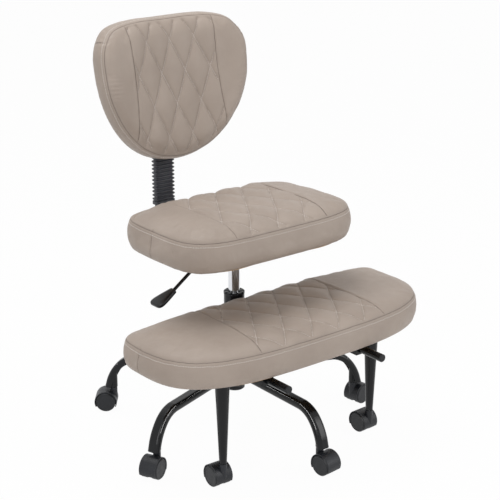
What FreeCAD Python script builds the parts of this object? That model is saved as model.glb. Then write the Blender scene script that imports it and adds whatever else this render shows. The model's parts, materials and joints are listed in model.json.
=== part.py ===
import FreeCAD, Part
import math
import os
import Sketcher
from FreeCAD import Matrix, Placement, Rotation, Vector

# Kneeling chair. Origin on the floor under the lift column, the sitter faces -Y.
doc = FreeCAD.newDocument("kneeling_chair")
sheet = doc.addObject("Spreadsheet::Sheet", "sizes")

# Driving sizes in millimetres and degrees
rows = [
    ("run_gap", 0.05, "radial gap of a running shaft"),
    ("seat_gap", 0.3, "gap of a soft or resting piece"),
    ("wheel_dia", 50, "caster wheel"),
    ("wheel_width", 16, "one wheel of the pair"),
    ("wheel_edge", 2.5, "bevel of the wheel edge"),
    ("wheel_side_gap", 0.6, "gap from wheel to hood web"),
    ("wheel_top_gap", 1.2, "gap from wheel to hood"),
    ("web_thick", 12, "web in the middle of a hood"),
    ("hood_wall", 2, "hood wall"),
    ("hood_width", 42, "hood over both wheels"),
    ("hood_open", 13, "lower edge of the hood above the floor"),
    ("caster_trail", 20, "stem axis to wheel axis"),
    ("axle_dia", 8, "wheel axle"),
    ("stem_dia", 11, "caster stem"),
    ("stem_below", 30, "stem length inside the hood"),
    ("stem_above", 36, "stem length above the hood"),
    ("boss_dia", 18, "stem boss of the hood"),
    ("boss_top", 60, "top of the stem boss above the floor"),
    ("socket_gap", 2, "stem boss to socket or leg"),
    ("stem_circle", 320, "radius of the five star casters"),
    ("arm_width", 30, "star arm"),
    ("arm_wall", 2.5, "star arm sheet"),
    ("arm_edge", 9, "rounded upper edges of an arm"),
    ("arm_top", 157, "top of the arms at the hub"),
    ("arm_depth", 20.7, "depth of an arm"),
    ("arm_tip", 20.5, "end of an arm beyond the stem"),
    ("socket_dia", 20, "stem socket in an arm"),
    ("socket_length", 39, "stem socket in an arm"),
    ("ridge_width", 8, "raised ridge on an arm"),
    ("ridge_height", 1.2, "raised ridge on an arm"),
    ("hub_dia", 66, "star hub"),
    ("hub_bottom", 112, "star hub lower edge"),
    ("hub_top", 170, "star hub upper edge"),
    ("tube_dia", 50, "lift outer tube"),
    ("tube_wall", 2, "lift outer tube"),
    ("tube_bottom", 98, "lift outer tube lower end"),
    ("tube_top", 346, "lift outer tube upper end"),
    ("tube_floor", 3, "end plate of the lift tube"),
    ("bush_rim", 6, "guide bush above the tube"),
    ("bush_rim_dia", 51, "guide bush rim"),
    ("bush_length", 60, "guide bush inside the tube"),
    ("notch_width", 4, "notch in the bush rim"),
    ("rod_dia", 10, "piston rod"),
    ("rod_inside", 113, "piston rod inside the chrome cylinder"),
    ("bearing_dia", 30, "thrust bearing"),
    ("bearing_height", 6, "thrust bearing"),
    ("lift_dia", 28, "chrome lift cylinder"),
    ("lift_length", 246, "chrome lift cylinder"),
    ("lift_below", 26, "upper end of the lift cylinder below the seat board"),
    ("lift_taper", 30, "length of the taper"),
    ("lift_end_dia", 26, "small end of the taper"),
    ("bore_short", 38, "bore for the rod ends below the top of the cylinder"),
    ("button_dia", 8, "release button"),
    ("button_length", 29, "release button"),
    ("button_free", 5, "free way under the button"),
    ("collar_dia", 68, "footrest collar on the tube"),
    ("collar_height", 44, "footrest collar on the tube"),
    ("rail_level", 262, "rail axis above the floor"),
    ("rail_dia", 19, "footrest rail"),
    ("rail_wall", 1.5, "footrest rail"),
    ("rail_x", 140, "rail axis from the middle"),
    ("rail_end", 372, "rail front end from the column"),
    ("plug_cap", 4, "rail plug"),
    ("plug_bevel", 2, "rail plug"),
    ("cross_y", 78, "front face of the crossbar from the column"),
    ("cross_size", 24, "square crossbar"),
    ("cross_over", 20, "crossbar end beyond the rail axis"),
    ("neck_width", 60, "neck from crossbar to collar"),
    ("sleeve_width", 30, "sleeve on a rail"),
    ("sleeve_length", 36, "sleeve on a rail"),
    ("sleeve_under", 13, "sleeve below the rail axis"),
    ("sleeve_rear", 120, "rear sleeves from the column"),
    ("sleeve_front", 285, "front sleeves from the column"),
    ("leg_inset", 153, "leg axis inside the end of the footrest"),
    ("leg_y", 246, "leg from the column"),
    ("leg_top_dia", 35, "leg at the top"),
    ("leg_end_dia", 17.6, "leg at the caster"),
    ("flange_dia", 66, "leg flange"),
    ("flange_thick", 3, "leg flange"),
    ("screw_dia", 5, "wood screw"),
    ("screw_head", 10, "wood screw head"),
    ("board_thick", 12, "plywood boards"),
    ("foot_half", 378, "half width of the footrest"),
    ("foot_front", 345, "front edge of the footrest from the column"),
    ("foot_rear", 40, "rear edge of the footrest from the column"),
    ("foot_mid", 134, "widest line of the footrest from the column"),
    ("foot_board", 278, "underside of the footrest board"),
    ("foot_lip", 3, "footrest cushion edge above the underside of its board"),
    ("foot_band", 65, "side band of the footrest cushion up to its seam"),
    ("foot_crown", 20, "crown of the footrest above its seam"),
    ("seat_half", 249, "half width of the seat"),
    ("seat_front", 192, "front edge of the seat from the column"),
    ("seat_rear", 129, "rear edge of the seat from the column"),
    ("seat_mid", 17, "widest line of the seat before the column"),
    ("seat_board", 484, "underside of the seat board"),
    ("seat_lip", 2, "seat cushion edge above the underside of its board"),
    ("seat_band", 72, "side band of the seat cushion up to its seam"),
    ("seat_crown", 24, "crown of the seat above its seam"),
    ("board_inset", 18, "boards inside the cushion edge"),
    ("quilt_x", 79, "width of a stitched diamond"),
    ("quilt_y", 122, "length of a stitched diamond"),
    ("foot_node", 160.6, "stitch crossing on the footrest, ahead of the lift column"),
    ("seat_node", 48.2, "stitch crossing on the seat, ahead of the lift column"),
    ("quilt_back_x", 68, "width of a diamond on the back"),
    ("quilt_back_y", 150, "length of a diamond on the back"),
    ("channel_width", 4, "stitched channel"),
    ("channel_depth", 2.5, "stitched channel"),
    ("seat_panel", 133, "panel seam of the seat from the middle"),
    ("foot_panel", 172, "panel seam of the footrest from the middle"),
    ("back_panel", 119, "panel seam of the back from the middle"),
    ("plate_x", 200, "seat plate"),
    ("plate_y", 190, "seat plate"),
    ("plate_thick", 3, "seat plate sheet"),
    ("plate_shift", 8, "seat plate middle behind the column"),
    ("box_x", 100, "box of the seat plate"),
    ("box_y", 90, "box of the seat plate"),
    ("box_depth", 37, "box of the seat plate below the sheet"),
    ("taper_dia", 40, "taper socket"),
    ("taper_height", 26, "taper socket"),
    ("taper_below", 14, "taper socket below the box"),
    ("bolt_dia", 6, "seat bolt"),
    ("bolt_head", 12, "seat bolt head"),
    ("bolt_x", 86, "seat bolts from the middle"),
    ("bolt_y", 76, "seat bolts from the plate middle"),
    ("lever_dia", 8, "height lever rod"),
    ("lever_below", 16.5, "height lever rod below the seat board"),
    ("lever_pivot_x", 28, "lever pivot from the column"),
    ("barrel_dia", 14, "lever barrel"),
    ("barrel_length", 16, "lever barrel"),
    ("pivot_dia", 5, "lever pivot pin"),
    ("paddle_length", 62, "lever grip"),
    ("paddle_width", 27, "lever grip"),
    ("paddle_thick", 10, "lever grip"),
    ("bar_width", 50, "back bar"),
    ("bar_thick", 6, "back bar"),
    ("bar_gap", 0.2, "gap of the bar in its channel"),
    ("bar_front", 40, "front end of the bar behind the column"),
    ("bar_y", 288.5, "upright of the bar behind the column"),
    ("bar_bend", 25, "lower bend of the bar"),
    ("bar_rise", 156, "start of the upper bend above the seat board"),
    ("bar_lean_bend", 200, "upper bend of the bar"),
    ("bar_top", 172, "straight top of the bar"),
    ("channel_end", 118, "rear end of the bar channel"),
    ("channel_wall", 3, "wall of the bar channel"),
    ("knob_dia", 40, "clamp knobs"),
    ("knob_height", 20, "clamp knobs"),
    ("knob_groove", 7, "finger groove of a knob"),
    ("knob_stud", 8, "stud of a knob"),
    ("knob_neck", 16, "nut under the channel and behind the bracket"),
    ("nut_height", 6, "nut height"),
    ("knob_y", 96, "depth knob behind the column"),
    ("bellows_width", 57, "ribbed sleeve"),
    ("bellows_deep", 25, "ribbed sleeve"),
    ("bellows_rise", 21, "lower end of the ribbed sleeve above the seat board"),
    ("bellows_pitch", 9.7, "rib pitch"),
    ("bellows_dip", 2.6, "depth between ribs"),
    ("bellows_fit", 0.5, "gap between sleeve and bar"),
    ("back_tilt", 10.4, "lean of the back"),
    ("back_y", 245.5, "edge seam of the back behind the column"),
    ("back_rise", 366, "reference point of the back above the seat board"),
    ("back_radius", 588, "hollow of the back around the sitter"),
    ("back_crown", 12, "front of the back cushion before its seam"),
    ("back_band", 50, "edge band of the back cushion"),
    ("back_round", 15, "rounded front edge of the back cushion"),
    ("shell_thick", 12, "back shell"),
    ("shell_inset", 14, "back shell inside the cushion edge"),
    ("pad_lift", 2, "flat pad of the shell"),
    ("bracket_x", 112, "back bracket plate"),
    ("bracket_v", 96, "back bracket plate"),
    ("bracket_mid", -75, "middle of the bracket on the back"),
    ("bracket_block", 70, "length of the bracket on the bar"),
    ("bracket_wall", 4, "rear wall of the bracket"),
]
for row, (name, number, note) in enumerate(rows, 1):
    sheet.set("A%d" % row, note)
    sheet.set("B%d" % row, str(number))
    sheet.setAlias("B%d" % row, name)
doc.recompute()


class Size:
    """A number that carries the expression it comes from."""

    def __init__(self, value, text):
        self.value = value
        self.text = text

    def __add__(self, other):
        return Size(self.value + num(other), "(%s + %s)" % (self.text, txt(other)))

    def __sub__(self, other):
        return Size(self.value - num(other), "(%s - %s)" % (self.text, txt(other)))

    def __mul__(self, other):
        return Size(self.value * num(other), "%s * %s" % (self.text, txt(other)))

    def __truediv__(self, other):
        return Size(self.value / num(other), "%s / %s" % (self.text, txt(other)))

    def __neg__(self):
        return Size(-self.value, "(0 - %s)" % self.text)

    def __radd__(self, other):
        return Size(other + self.value, "(%s + %s)" % (txt(other), self.text))

    def __rsub__(self, other):
        return Size(other - self.value, "(%s - %s)" % (txt(other), self.text))


def num(item):
    return item.value if isinstance(item, Size) else float(item)


def txt(item):
    return item.text if isinstance(item, Size) else "(%r)" % item


def sin_of(angle):
    return Size(math.sin(math.radians(num(angle))), "sin(%s)" % txt(angle))


def cos_of(angle):
    return Size(math.cos(math.radians(num(angle))), "cos(%s)" % txt(angle))


class Sizes:
    pass


s = Sizes()
for name, number, note in rows:
    setattr(s, name, Size(float(sheet.get(name)), "sizes." + name))

# Sizes that follow from the two boards
s.leg_x = s.foot_half - s.leg_inset
s.foot_rim = s.foot_board + s.foot_lip
s.foot_seam = s.foot_rim + s.foot_band
s.seat_rim = s.seat_board + s.seat_lip
s.seat_seam = s.seat_rim + s.seat_band
s.lift_top = s.seat_board - s.lift_below
s.lift_bottom = s.lift_top - s.lift_length
s.lift_bore_top = s.lift_top - s.bore_short
s.rod_top = s.lift_bottom + s.rod_inside
s.lever_z = s.seat_board - s.lever_below
s.bellows_bottom = s.seat_board + s.bellows_rise
s.bar_lean_z = s.seat_board + s.bar_rise
s.back_z = s.seat_board + s.back_rise


def bind(item, prop, amount):
    if isinstance(amount, Size):
        setattr(item, prop, amount.value)
        item.setExpression(prop, amount.text)
    else:
        setattr(item, prop, amount)


def place(item, base=(0, 0, 0), axis=(0, 0, 1), angle=0):
    """Sets the placement and binds each part of it that comes from the sheet."""
    item.Placement = Placement(
        Vector(*[num(v) for v in base]), Rotation(Vector(*axis), num(angle))
    )
    for letter, amount in zip("xyz", base):
        if isinstance(amount, Size):
            item.setExpression("Placement.Base." + letter, amount.text)
    if isinstance(angle, Size):
        item.setExpression("Placement.Rotation.Angle", angle.text)
    return item


turns = {"x": ((0, 1, 0), 90), "y": ((1, 0, 0), -90), "z": ((0, 0, 1), 0)}


def cylinder(name, radius, height, base=(0, 0, 0), along="z"):
    item = doc.addObject("Part::Cylinder", name)
    bind(item, "Radius", radius)
    bind(item, "Height", height)
    return place(item, base, *turns[along])


def cone(name, low, high, height, base=(0, 0, 0)):
    item = doc.addObject("Part::Cone", name)
    bind(item, "Radius1", low)
    bind(item, "Radius2", high)
    bind(item, "Height", height)
    return place(item, base)


def box(name, x, y, z, base=(0, 0, 0)):
    item = doc.addObject("Part::Box", name)
    bind(item, "Length", x)
    bind(item, "Width", y)
    bind(item, "Height", z)
    return place(item, base)


def middle_box(name, x, y, z, base=(0, 0, 0)):
    """A box centred on X and Y over its base point."""
    return box(name, x, y, z, (base[0] - x / 2, base[1] - y / 2, base[2]))


def fuse(name, items):
    item = doc.addObject("Part::MultiFuse", name)
    item.Shapes = items
    item.Refine = True
    return item


def cut(name, base, tool):
    if isinstance(tool, list):
        tool = fuse(name + "_tools", tool)
    item = doc.addObject("Part::Cut", name)
    item.Base = base
    item.Tool = tool
    item.Refine = True
    return item


def common(name, first, second):
    item = doc.addObject("Part::MultiCommon", name)
    item.Shapes = [first, second]
    return item


def group(name, items, base=(0, 0, 0), axis=(0, 0, 1), angle=0):
    item = doc.addObject("Part::Compound", name)
    item.Links = items
    return place(item, base, axis, angle)


def shaped(name, shape):
    item = doc.addObject("Part::Feature", name)
    item.Shape = shape
    return item


def origin_plane(body, role):
    for item in body.Origin.OriginFeatures:
        if item.Role == role:
            return item


def arc_between(start, end, radius, left):
    """The arc of under a half turn from start to end, bulging left or right of the chord."""
    chord = end - start
    half = chord.Length / 2
    side = Vector(-chord.y, chord.x, 0).normalize()
    reach = math.sqrt(max(radius * radius - half * half, 0))
    centre = (start + end) * 0.5 - side * reach * (1 if left else -1)
    first, last = (end, start) if left else (start, end)
    a = math.atan2(first.y - centre.y, first.x - centre.x)
    b = math.atan2(last.y - centre.y, last.x - centre.x)
    if b < a:
        b += 2 * math.pi
    return Part.ArcOfCircle(Part.Circle(centre, Vector(0, 0, 1), radius), a, b), left


def outline_sketch(body, name, plane, corners):
    """A closed outline. A corner is x, y and, where an arc ends there, its radius and side."""
    sketch = body.newObject("Sketcher::SketchObject", name)
    sketch.AttachmentSupport = [(origin_plane(body, plane), "")]
    sketch.MapMode = "FlatFace"
    points = [Vector(num(c[0]), num(c[1]), 0) for c in corners]
    count = len(points)
    starts = []
    for i in range(count):
        target = corners[(i + 1) % count]
        a, b = points[i], points[(i + 1) % count]
        if len(target) > 2:
            curve, turned = arc_between(a, b, num(target[2]), target[3])
            sketch.addGeometry(curve)
            starts.append((2, 1) if turned else (1, 2))
        else:
            sketch.addGeometry(Part.LineSegment(a, b))
            starts.append((1, 2))
    for i in range(count):
        j = (i + 1) % count
        sketch.addConstraint(
            Sketcher.Constraint("Coincident", i, starts[i][1], j, starts[j][0])
        )
    for i, corner in enumerate(corners):
        for kind, word, amount in (("DistanceX", "x", corner[0]), ("DistanceY", "y", corner[1])):
            index = sketch.addConstraint(
                Sketcher.Constraint(kind, -1, 1, i, starts[i][0], num(amount))
            )
            label = "%s_%d" % (word, i + 1)
            sketch.renameConstraint(index, label)
            if isinstance(amount, Size):
                sketch.setExpression(".Constraints." + label, amount.text)
        if len(corner) > 2:
            index = sketch.addConstraint(
                Sketcher.Constraint("Radius", (i - 1) % count, num(corner[2]))
            )
            label = "r_%d" % (i + 1)
            sketch.renameConstraint(index, label)
            if isinstance(corner[2], Size):
                sketch.setExpression(".Constraints." + label, corner[2].text)
    return sketch


def revolved(name, corners):
    """A body turned about the Z axis from an outline of radius and height."""
    body = doc.addObject("PartDesign::Body", name)
    sketch = outline_sketch(body, name + "_outline", "XZ_Plane", corners)
    feature = body.newObject("PartDesign::Revolution", name + "_turn")
    feature.Profile = sketch
    feature.ReferenceAxis = (sketch, ["V_Axis"])
    feature.Angle = 360
    return body


def padded(name, plane, corners, length):
    """A body pushed out evenly to both sides of one of its origin planes."""
    body = doc.addObject("PartDesign::Body", name)
    sketch = outline_sketch(body, name + "_outline", plane, corners)
    feature = body.newObject("PartDesign::Pad", name + "_pad")
    feature.Profile = sketch
    feature.SideType = "Symmetric"
    bind(feature, "Length", length)
    return body


nodes = []


def keep(item, label):
    item.Label = label
    nodes.append(item)
    return item


# Caster forms, drawn with the stem on the Z axis and the wheels trailing along +X
wheel_r = s.wheel_dia / 2
hood_r = wheel_r + s.wheel_top_gap + s.hood_wall
cavity = (s.hood_width - s.web_thick) / 2
hood_shell = cylinder(
    "hood_shell", hood_r, s.hood_width, (s.caster_trail, -s.hood_width / 2, wheel_r), "y"
)
hood_boss = cylinder("hood_boss", s.boss_dia / 2, s.boss_top - wheel_r, (0, 0, wheel_r))
hood_solid = fuse("hood_solid", [hood_shell, hood_boss])
hood_cuts = [
    cylinder(
        "hood_cavity_left",
        wheel_r + s.wheel_top_gap,
        cavity + 1,
        (s.caster_trail, s.web_thick / 2, wheel_r),
        "y",
    ),
    cylinder(
        "hood_cavity_right",
        wheel_r + s.wheel_top_gap,
        cavity + 1,
        (s.caster_trail, -s.web_thick / 2 - cavity - 1, wheel_r),
        "y",
    ),
    middle_box(
        "hood_opening", hood_r * 3, s.hood_width + 4, s.hood_open + 5, (s.caster_trail, 0, -5)
    ),
    cylinder(
        "hood_stem_bore", s.stem_dia / 2, s.stem_below + 1, (0, 0, s.boss_top - s.stem_below)
    ),
    cylinder(
        "hood_axle_bore",
        s.axle_dia / 2,
        s.web_thick + 4,
        (s.caster_trail, -s.web_thick / 2 - 2, wheel_r),
        "y",
    ),
]
hood_form = cut("hood_form", hood_solid, hood_cuts)

stem_form = revolved(
    "stem_form",
    [
        (0, s.boss_top - s.stem_below),
        (s.stem_dia / 2, s.boss_top - s.stem_below),
        (s.stem_dia / 2, s.boss_top + s.stem_above - 2),
        (s.stem_dia / 2 - 1.5, s.boss_top + s.stem_above),
        (0, s.boss_top + s.stem_above),
    ],
)
axle_half = s.web_thick / 2 + s.wheel_side_gap + s.wheel_width - 5
axle_form = cylinder(
    "axle_form", s.axle_dia / 2, axle_half * 2, (s.caster_trail, -axle_half, wheel_r), "y"
)

wheel_form = revolved(
    "wheel_form",
    [
        (s.axle_dia / 2 + s.run_gap, 0),
        (wheel_r - s.wheel_edge / 2, 0),
        (wheel_r, s.wheel_edge / 2),
        (wheel_r, s.wheel_width - s.wheel_edge),
        (wheel_r - s.wheel_edge, s.wheel_width),
        (wheel_r - s.wheel_edge * 1.6, s.wheel_width),
        (wheel_r - s.wheel_edge * 2, s.wheel_width - 0.8),
        (0, s.wheel_width - 0.8),
        (0, s.wheel_width - 4.5),
        (s.axle_dia / 2 + s.run_gap, s.wheel_width - 4.5),
    ],
)
wheel_side = s.web_thick / 2 + s.wheel_side_gap
wheel_left = group(
    "wheel_left", [wheel_form], (s.caster_trail, wheel_side, wheel_r), (1, 0, 0), -90
)
wheel_right = group(
    "wheel_right", [wheel_form], (s.caster_trail, -wheel_side, wheel_r), (1, 0, 0), 90
)

# Five casters under the star and two under the footrest legs: place and heading of each
star_angles = [-90, -18, 54, 126, 198]
star_heading = [-84, 8, 300, 141, 205]
for k in range(5):
    spot = (
        s.stem_circle * cos_of(Size(star_angles[k], "(%d)" % star_angles[k])),
        s.stem_circle * sin_of(Size(star_angles[k], "(%d)" % star_angles[k])),
        0,
    )
    for part, forms in (
        ("hood", [hood_form]),
        ("pins", [stem_form, axle_form]),
        ("wheels", [wheel_left, wheel_right]),
    ):
        keep(
            group("star_%s_%d" % (part, k + 1), forms, spot, (0, 0, 1), star_heading[k]),
            "caster_%d_%s" % (k + 1, part),
        )
leg_heading = [92, 88]
for k, side in enumerate((1, -1)):
    spot = (s.leg_x * side, -s.leg_y, 0)
    for part, forms in (
        ("hood", [hood_form]),
        ("pins", [stem_form, axle_form]),
        ("wheels", [wheel_left, wheel_right]),
    ):
        keep(
            group("leg_%s_%d" % (part, k + 1), forms, spot, (0, 0, 1), leg_heading[k]),
            "caster_%d_%s" % (k + 6, part),
        )

# Star base: a hub ring and five pressed arms, open below, each with its stem socket
keep(
    revolved(
        "hub",
        [
            (s.tube_dia / 2, s.hub_bottom),
            (s.hub_dia / 2 - 1.5, s.hub_bottom),
            (s.hub_dia / 2, s.hub_bottom + 1.5),
            (s.hub_dia / 2, s.hub_top - 3),
            (s.hub_dia / 2 - 3, s.hub_top),
            (s.tube_dia / 2, s.hub_top),
        ],
    ),
    "star_hub",
)

tip_z = s.boss_top + s.socket_gap
root_x = s.hub_dia / 2 - 6
arm_outer = [
    (root_x, s.arm_top),
    (s.stem_circle - 63, s.arm_top - 3),
    (s.stem_circle - 14.3, s.arm_top - 25.7, 75, True),
    (s.stem_circle + s.arm_tip - 5.8, s.arm_top - 73.9, 125, True),
    (s.stem_circle + s.arm_tip, tip_z),
    (s.stem_circle + s.arm_tip - s.arm_depth, tip_z),
    (s.stem_circle + s.arm_tip - 5.8 - s.arm_depth * 0.95, s.arm_top - 73.9 - s.arm_depth * 0.31),
    (
        s.stem_circle - 14.3 - s.arm_depth * 0.72,
        s.arm_top - 25.7 - s.arm_depth * 0.69,
        125 - s.arm_depth,
        False,
    ),
    (s.stem_circle - 64, s.arm_top - 3 - s.arm_depth, 75 - s.arm_depth, False),
    (root_x, s.arm_top - s.arm_depth),
]
arm_under = arm_outer[:5] + [(root_x, tip_z)]
arm_hollow = [
    (root_x - 1, s.arm_top - s.arm_wall),
    (s.stem_circle - 63, s.arm_top - 3 - s.arm_wall),
    (
        s.stem_circle - 14.3 - s.arm_wall * 0.72,
        s.arm_top - 25.7 - s.arm_wall * 0.69,
        75 - s.arm_wall,
        True,
    ),
    (
        s.stem_circle + s.arm_tip - 5.8 - s.arm_wall * 0.95,
        s.arm_top - 73.9 - s.arm_wall * 0.31,
        125 - s.arm_wall,
        True,
    ),
    (s.stem_circle + s.arm_tip - s.arm_wall, tip_z - 3),
    (root_x - 1, tip_z - 3),
]
arm_body = padded("arm_body", "XZ_Plane", arm_outer, s.arm_width)
doc.recompute()


def long_edges(body, level, reach):
    """Names of the edges on a side face of a pad whose middle lies above a line."""
    names = []
    for number, edge in enumerate(body.Shape.Edges, 1):
        middle = edge.valueAt((edge.FirstParameter + edge.LastParameter) / 2)
        ends = [v.Point.y for v in edge.Vertexes]
        if min(abs(y) for y in ends) > reach and ends[0] * ends[-1] > 0 and level(middle):
            names.append("Edge%d" % number)
    return names


def upper_side(point):
    far = point.x - (num(s.stem_circle) - 63)
    if far < 0:
        return point.z > num(s.arm_top) - num(s.arm_depth) / 2 and point.x > num(root_x) + 1
    return point.z > num(s.arm_top) - 30 - far * 0.95 and point.z > num(tip_z) + 1


arm_pad = arm_body.Tip
arm_round = arm_body.newObject("PartDesign::Fillet", "arm_round")
arm_round.Base = (arm_pad, long_edges(arm_pad, upper_side, num(s.arm_width) / 2 - 0.1))
bind(arm_round, "Radius", s.arm_edge)
arm_body.Tip = arm_round
arm_inside = outline_sketch(arm_body, "arm_inside", "XZ_Plane", arm_hollow)
arm_pocket = arm_body.newObject("PartDesign::Pocket", "arm_pocket")
arm_pocket.Profile = arm_inside
arm_pocket.SideType = "Symmetric"
arm_pocket.Type = "Length"
bind(arm_pocket, "Length", s.arm_width - s.arm_wall * 2)
arm_body.Tip = arm_pocket

arm_full = padded("arm_full", "XZ_Plane", arm_under, s.arm_width - 2)
socket_rod = cylinder("socket_rod", s.socket_dia / 2, s.socket_length, (s.stem_circle, 0, tip_z))
socket_inside = common("socket_inside", socket_rod, arm_full)
socket_bore = cylinder(
    "socket_bore",
    s.stem_dia / 2 + s.run_gap,
    s.stem_above - s.socket_gap + 1.5,
    (s.stem_circle, 0, tip_z - 0.5),
)
hub_space = cylinder("hub_space", s.hub_dia / 2, 200, (0, 0, tip_z))
arm_joined = fuse("arm_joined", [arm_body, socket_inside])
arm_form = cut("arm_form", arm_joined, [socket_bore, hub_space])
for k in range(5):
    keep(
        group("arm_%d" % (k + 1), [arm_form], (0, 0, 0), (0, 0, 1), star_angles[k]),
        "star_arm_%d" % (k + 1),
    )

# Gas lift: outer tube, notched guide, bearing, rod, chrome cylinder and its button
tube_r = s.tube_dia / 2
rod_r = s.rod_dia / 2
keep(
    revolved(
        "outer_tube",
        [
            (rod_r + 1, s.tube_bottom),
            (tube_r - 2, s.tube_bottom),
            (tube_r, s.tube_bottom + 2),
            (tube_r, s.tube_top),
            (tube_r - s.tube_wall, s.tube_top),
            (tube_r - s.tube_wall, s.tube_bottom + s.tube_floor),
            (rod_r + 1, s.tube_bottom + s.tube_floor),
        ],
    ),
    "lift_outer_tube",
)
lift_r = s.lift_dia / 2
bush = revolved(
    "bush",
    [
        (lift_r + s.run_gap, s.tube_top - s.bush_length),
        (tube_r - s.tube_wall, s.tube_top - s.bush_length),
        (tube_r - s.tube_wall, s.tube_top),
        (s.bush_rim_dia / 2, s.tube_top),
        (s.bush_rim_dia / 2, s.tube_top + s.bush_rim - 1),
        (s.bush_rim_dia / 2 - 1, s.tube_top + s.bush_rim),
        (lift_r + s.run_gap, s.tube_top + s.bush_rim),
    ],
)
notch = outline_sketch(
    bush,
    "bush_notch",
    "YZ_Plane",
    [
        (-s.notch_width / 2, s.tube_top + s.bush_rim - 3.5),
        (s.notch_width / 2, s.tube_top + s.bush_rim - 3.5),
        (s.notch_width / 2, s.tube_top + s.bush_rim + 1),
        (-s.notch_width / 2, s.tube_top + s.bush_rim + 1),
    ],
)
bush_cut = bush.newObject("PartDesign::Pocket", "bush_cut")
bush_cut.Profile = notch
bush_cut.Type = "Length"
bind(bush_cut, "Length", s.bush_rim_dia)
bush_cut.Reversed = True
bush_notches = bush.newObject("PartDesign::PolarPattern", "bush_notches")
bush_notches.Originals = [bush_cut]
bush_notches.Axis = (notch, ["V_Axis"])
bush_notches.Angle = 360
bush_notches.Occurrences = 10
bush.Tip = bush_notches
keep(bush, "lift_guide_bush")

floor_z = s.tube_bottom + s.tube_floor
keep(
    revolved(
        "bearing",
        [
            (rod_r + s.run_gap, floor_z),
            (s.bearing_dia / 2, floor_z),
            (s.bearing_dia / 2, floor_z + s.bearing_height),
            (rod_r + s.run_gap, floor_z + s.bearing_height),
        ],
    ),
    "lift_thrust_bearing",
)
shoulder_z = floor_z + s.bearing_height + s.run_gap * 4
keep(
    revolved(
        "rod",
        [
            (0, s.tube_bottom - 5),
            (rod_r - 1, s.tube_bottom - 5),
            (rod_r, s.tube_bottom - 4),
            (rod_r, shoulder_z),
            (s.bearing_dia / 2 - 5, shoulder_z),
            (s.bearing_dia / 2 - 5, shoulder_z + 2),
            (rod_r, shoulder_z + 2),
            (rod_r, s.rod_top),
            (0, s.rod_top),
        ],
    ),
    "lift_piston_rod",
)
button_top = s.lever_z - s.lever_dia / 2 - s.seat_gap
button_foot = button_top - s.button_length
keep(
    revolved(
        "inner_cylinder",
        [
            (rod_r + s.run_gap, s.lift_bottom),
            (lift_r - 1, s.lift_bottom),
            (lift_r, s.lift_bottom + 1),
            (lift_r, s.lift_top - s.lift_taper),
            (s.lift_end_dia / 2, s.lift_top),
            (s.button_dia / 2 + s.run_gap, s.lift_top),
            (s.button_dia / 2 + s.run_gap, button_foot - s.button_free),
            (0, button_foot - s.button_free),
            (0, s.lift_bore_top),
            (rod_r + s.run_gap, s.lift_bore_top),
        ],
    ),
    "lift_inner_cylinder",
)
keep(
    revolved(
        "button",
        [
            (0, button_foot),
            (s.button_dia / 2, button_foot),
            (s.button_dia / 2, button_top - 1),
            (s.button_dia / 2 - 1, button_top),
            (0, button_top),
        ],
    ),
    "lift_release_button",
)

# Footrest frame: a clamp collar on the outer tube, a neck, a crossbar and two rails
rail_r = s.rail_dia / 2
collar_z = s.rail_level - s.collar_height / 2
frame_bar_y = -s.cross_y + s.cross_size / 2
frame_solid = fuse(
    "frame_solid",
    [
        cylinder("collar_ring", s.collar_dia / 2, s.collar_height, (0, 0, collar_z)),
        middle_box(
            "crossbar",
            s.rail_x * 2 + s.cross_over * 2,
            s.cross_size,
            s.cross_size,
            (0, frame_bar_y, s.rail_level - s.cross_size / 2),
        ),
        box(
            "frame_neck",
            s.neck_width,
            s.cross_y - 4,
            s.cross_size,
            (-s.neck_width / 2, -s.cross_y + 2, s.rail_level - s.cross_size / 2),
        ),
        box(
            "clamp_ears",
            20,
            18,
            s.collar_height - 8,
            (-10, s.collar_dia / 2 - 3, collar_z + 4),
        ),
    ],
)
frame_cuts = [
    cylinder("collar_bore", tube_r, s.collar_height + 4, (0, 0, collar_z - 2)),
    box("clamp_slit", 3, 40, s.collar_height + 4, (-1.5, tube_r - 3, collar_z - 2)),
]
clamp_y = s.collar_dia / 2 + 8
for k, level in enumerate((s.rail_level - 9, s.rail_level + 9)):
    frame_cuts.append(
        cylinder("clamp_hole_%d" % (k + 1), s.bolt_dia / 2, 40, (-20, clamp_y, level), "x")
    )
keep(cut("frame_form", frame_solid, frame_cuts), "footrest_frame")

clamp_bolts = []
for k, level in enumerate((s.rail_level - 9, s.rail_level + 9)):
    clamp_bolts.append(
        fuse(
            "clamp_bolt_%d" % (k + 1),
            [
                cylinder("clamp_shank_%d" % (k + 1), s.bolt_dia / 2, 28, (-14, clamp_y, level), "x"),
                cylinder("clamp_head_%d" % (k + 1), 5, 5, (10, clamp_y, level), "x"),
                cylinder("clamp_nut_%d" % (k + 1), 5, 4, (-14, clamp_y, level), "x"),
            ],
        )
    )
keep(group("clamp_bolts", clamp_bolts), "frame_screws")

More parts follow.
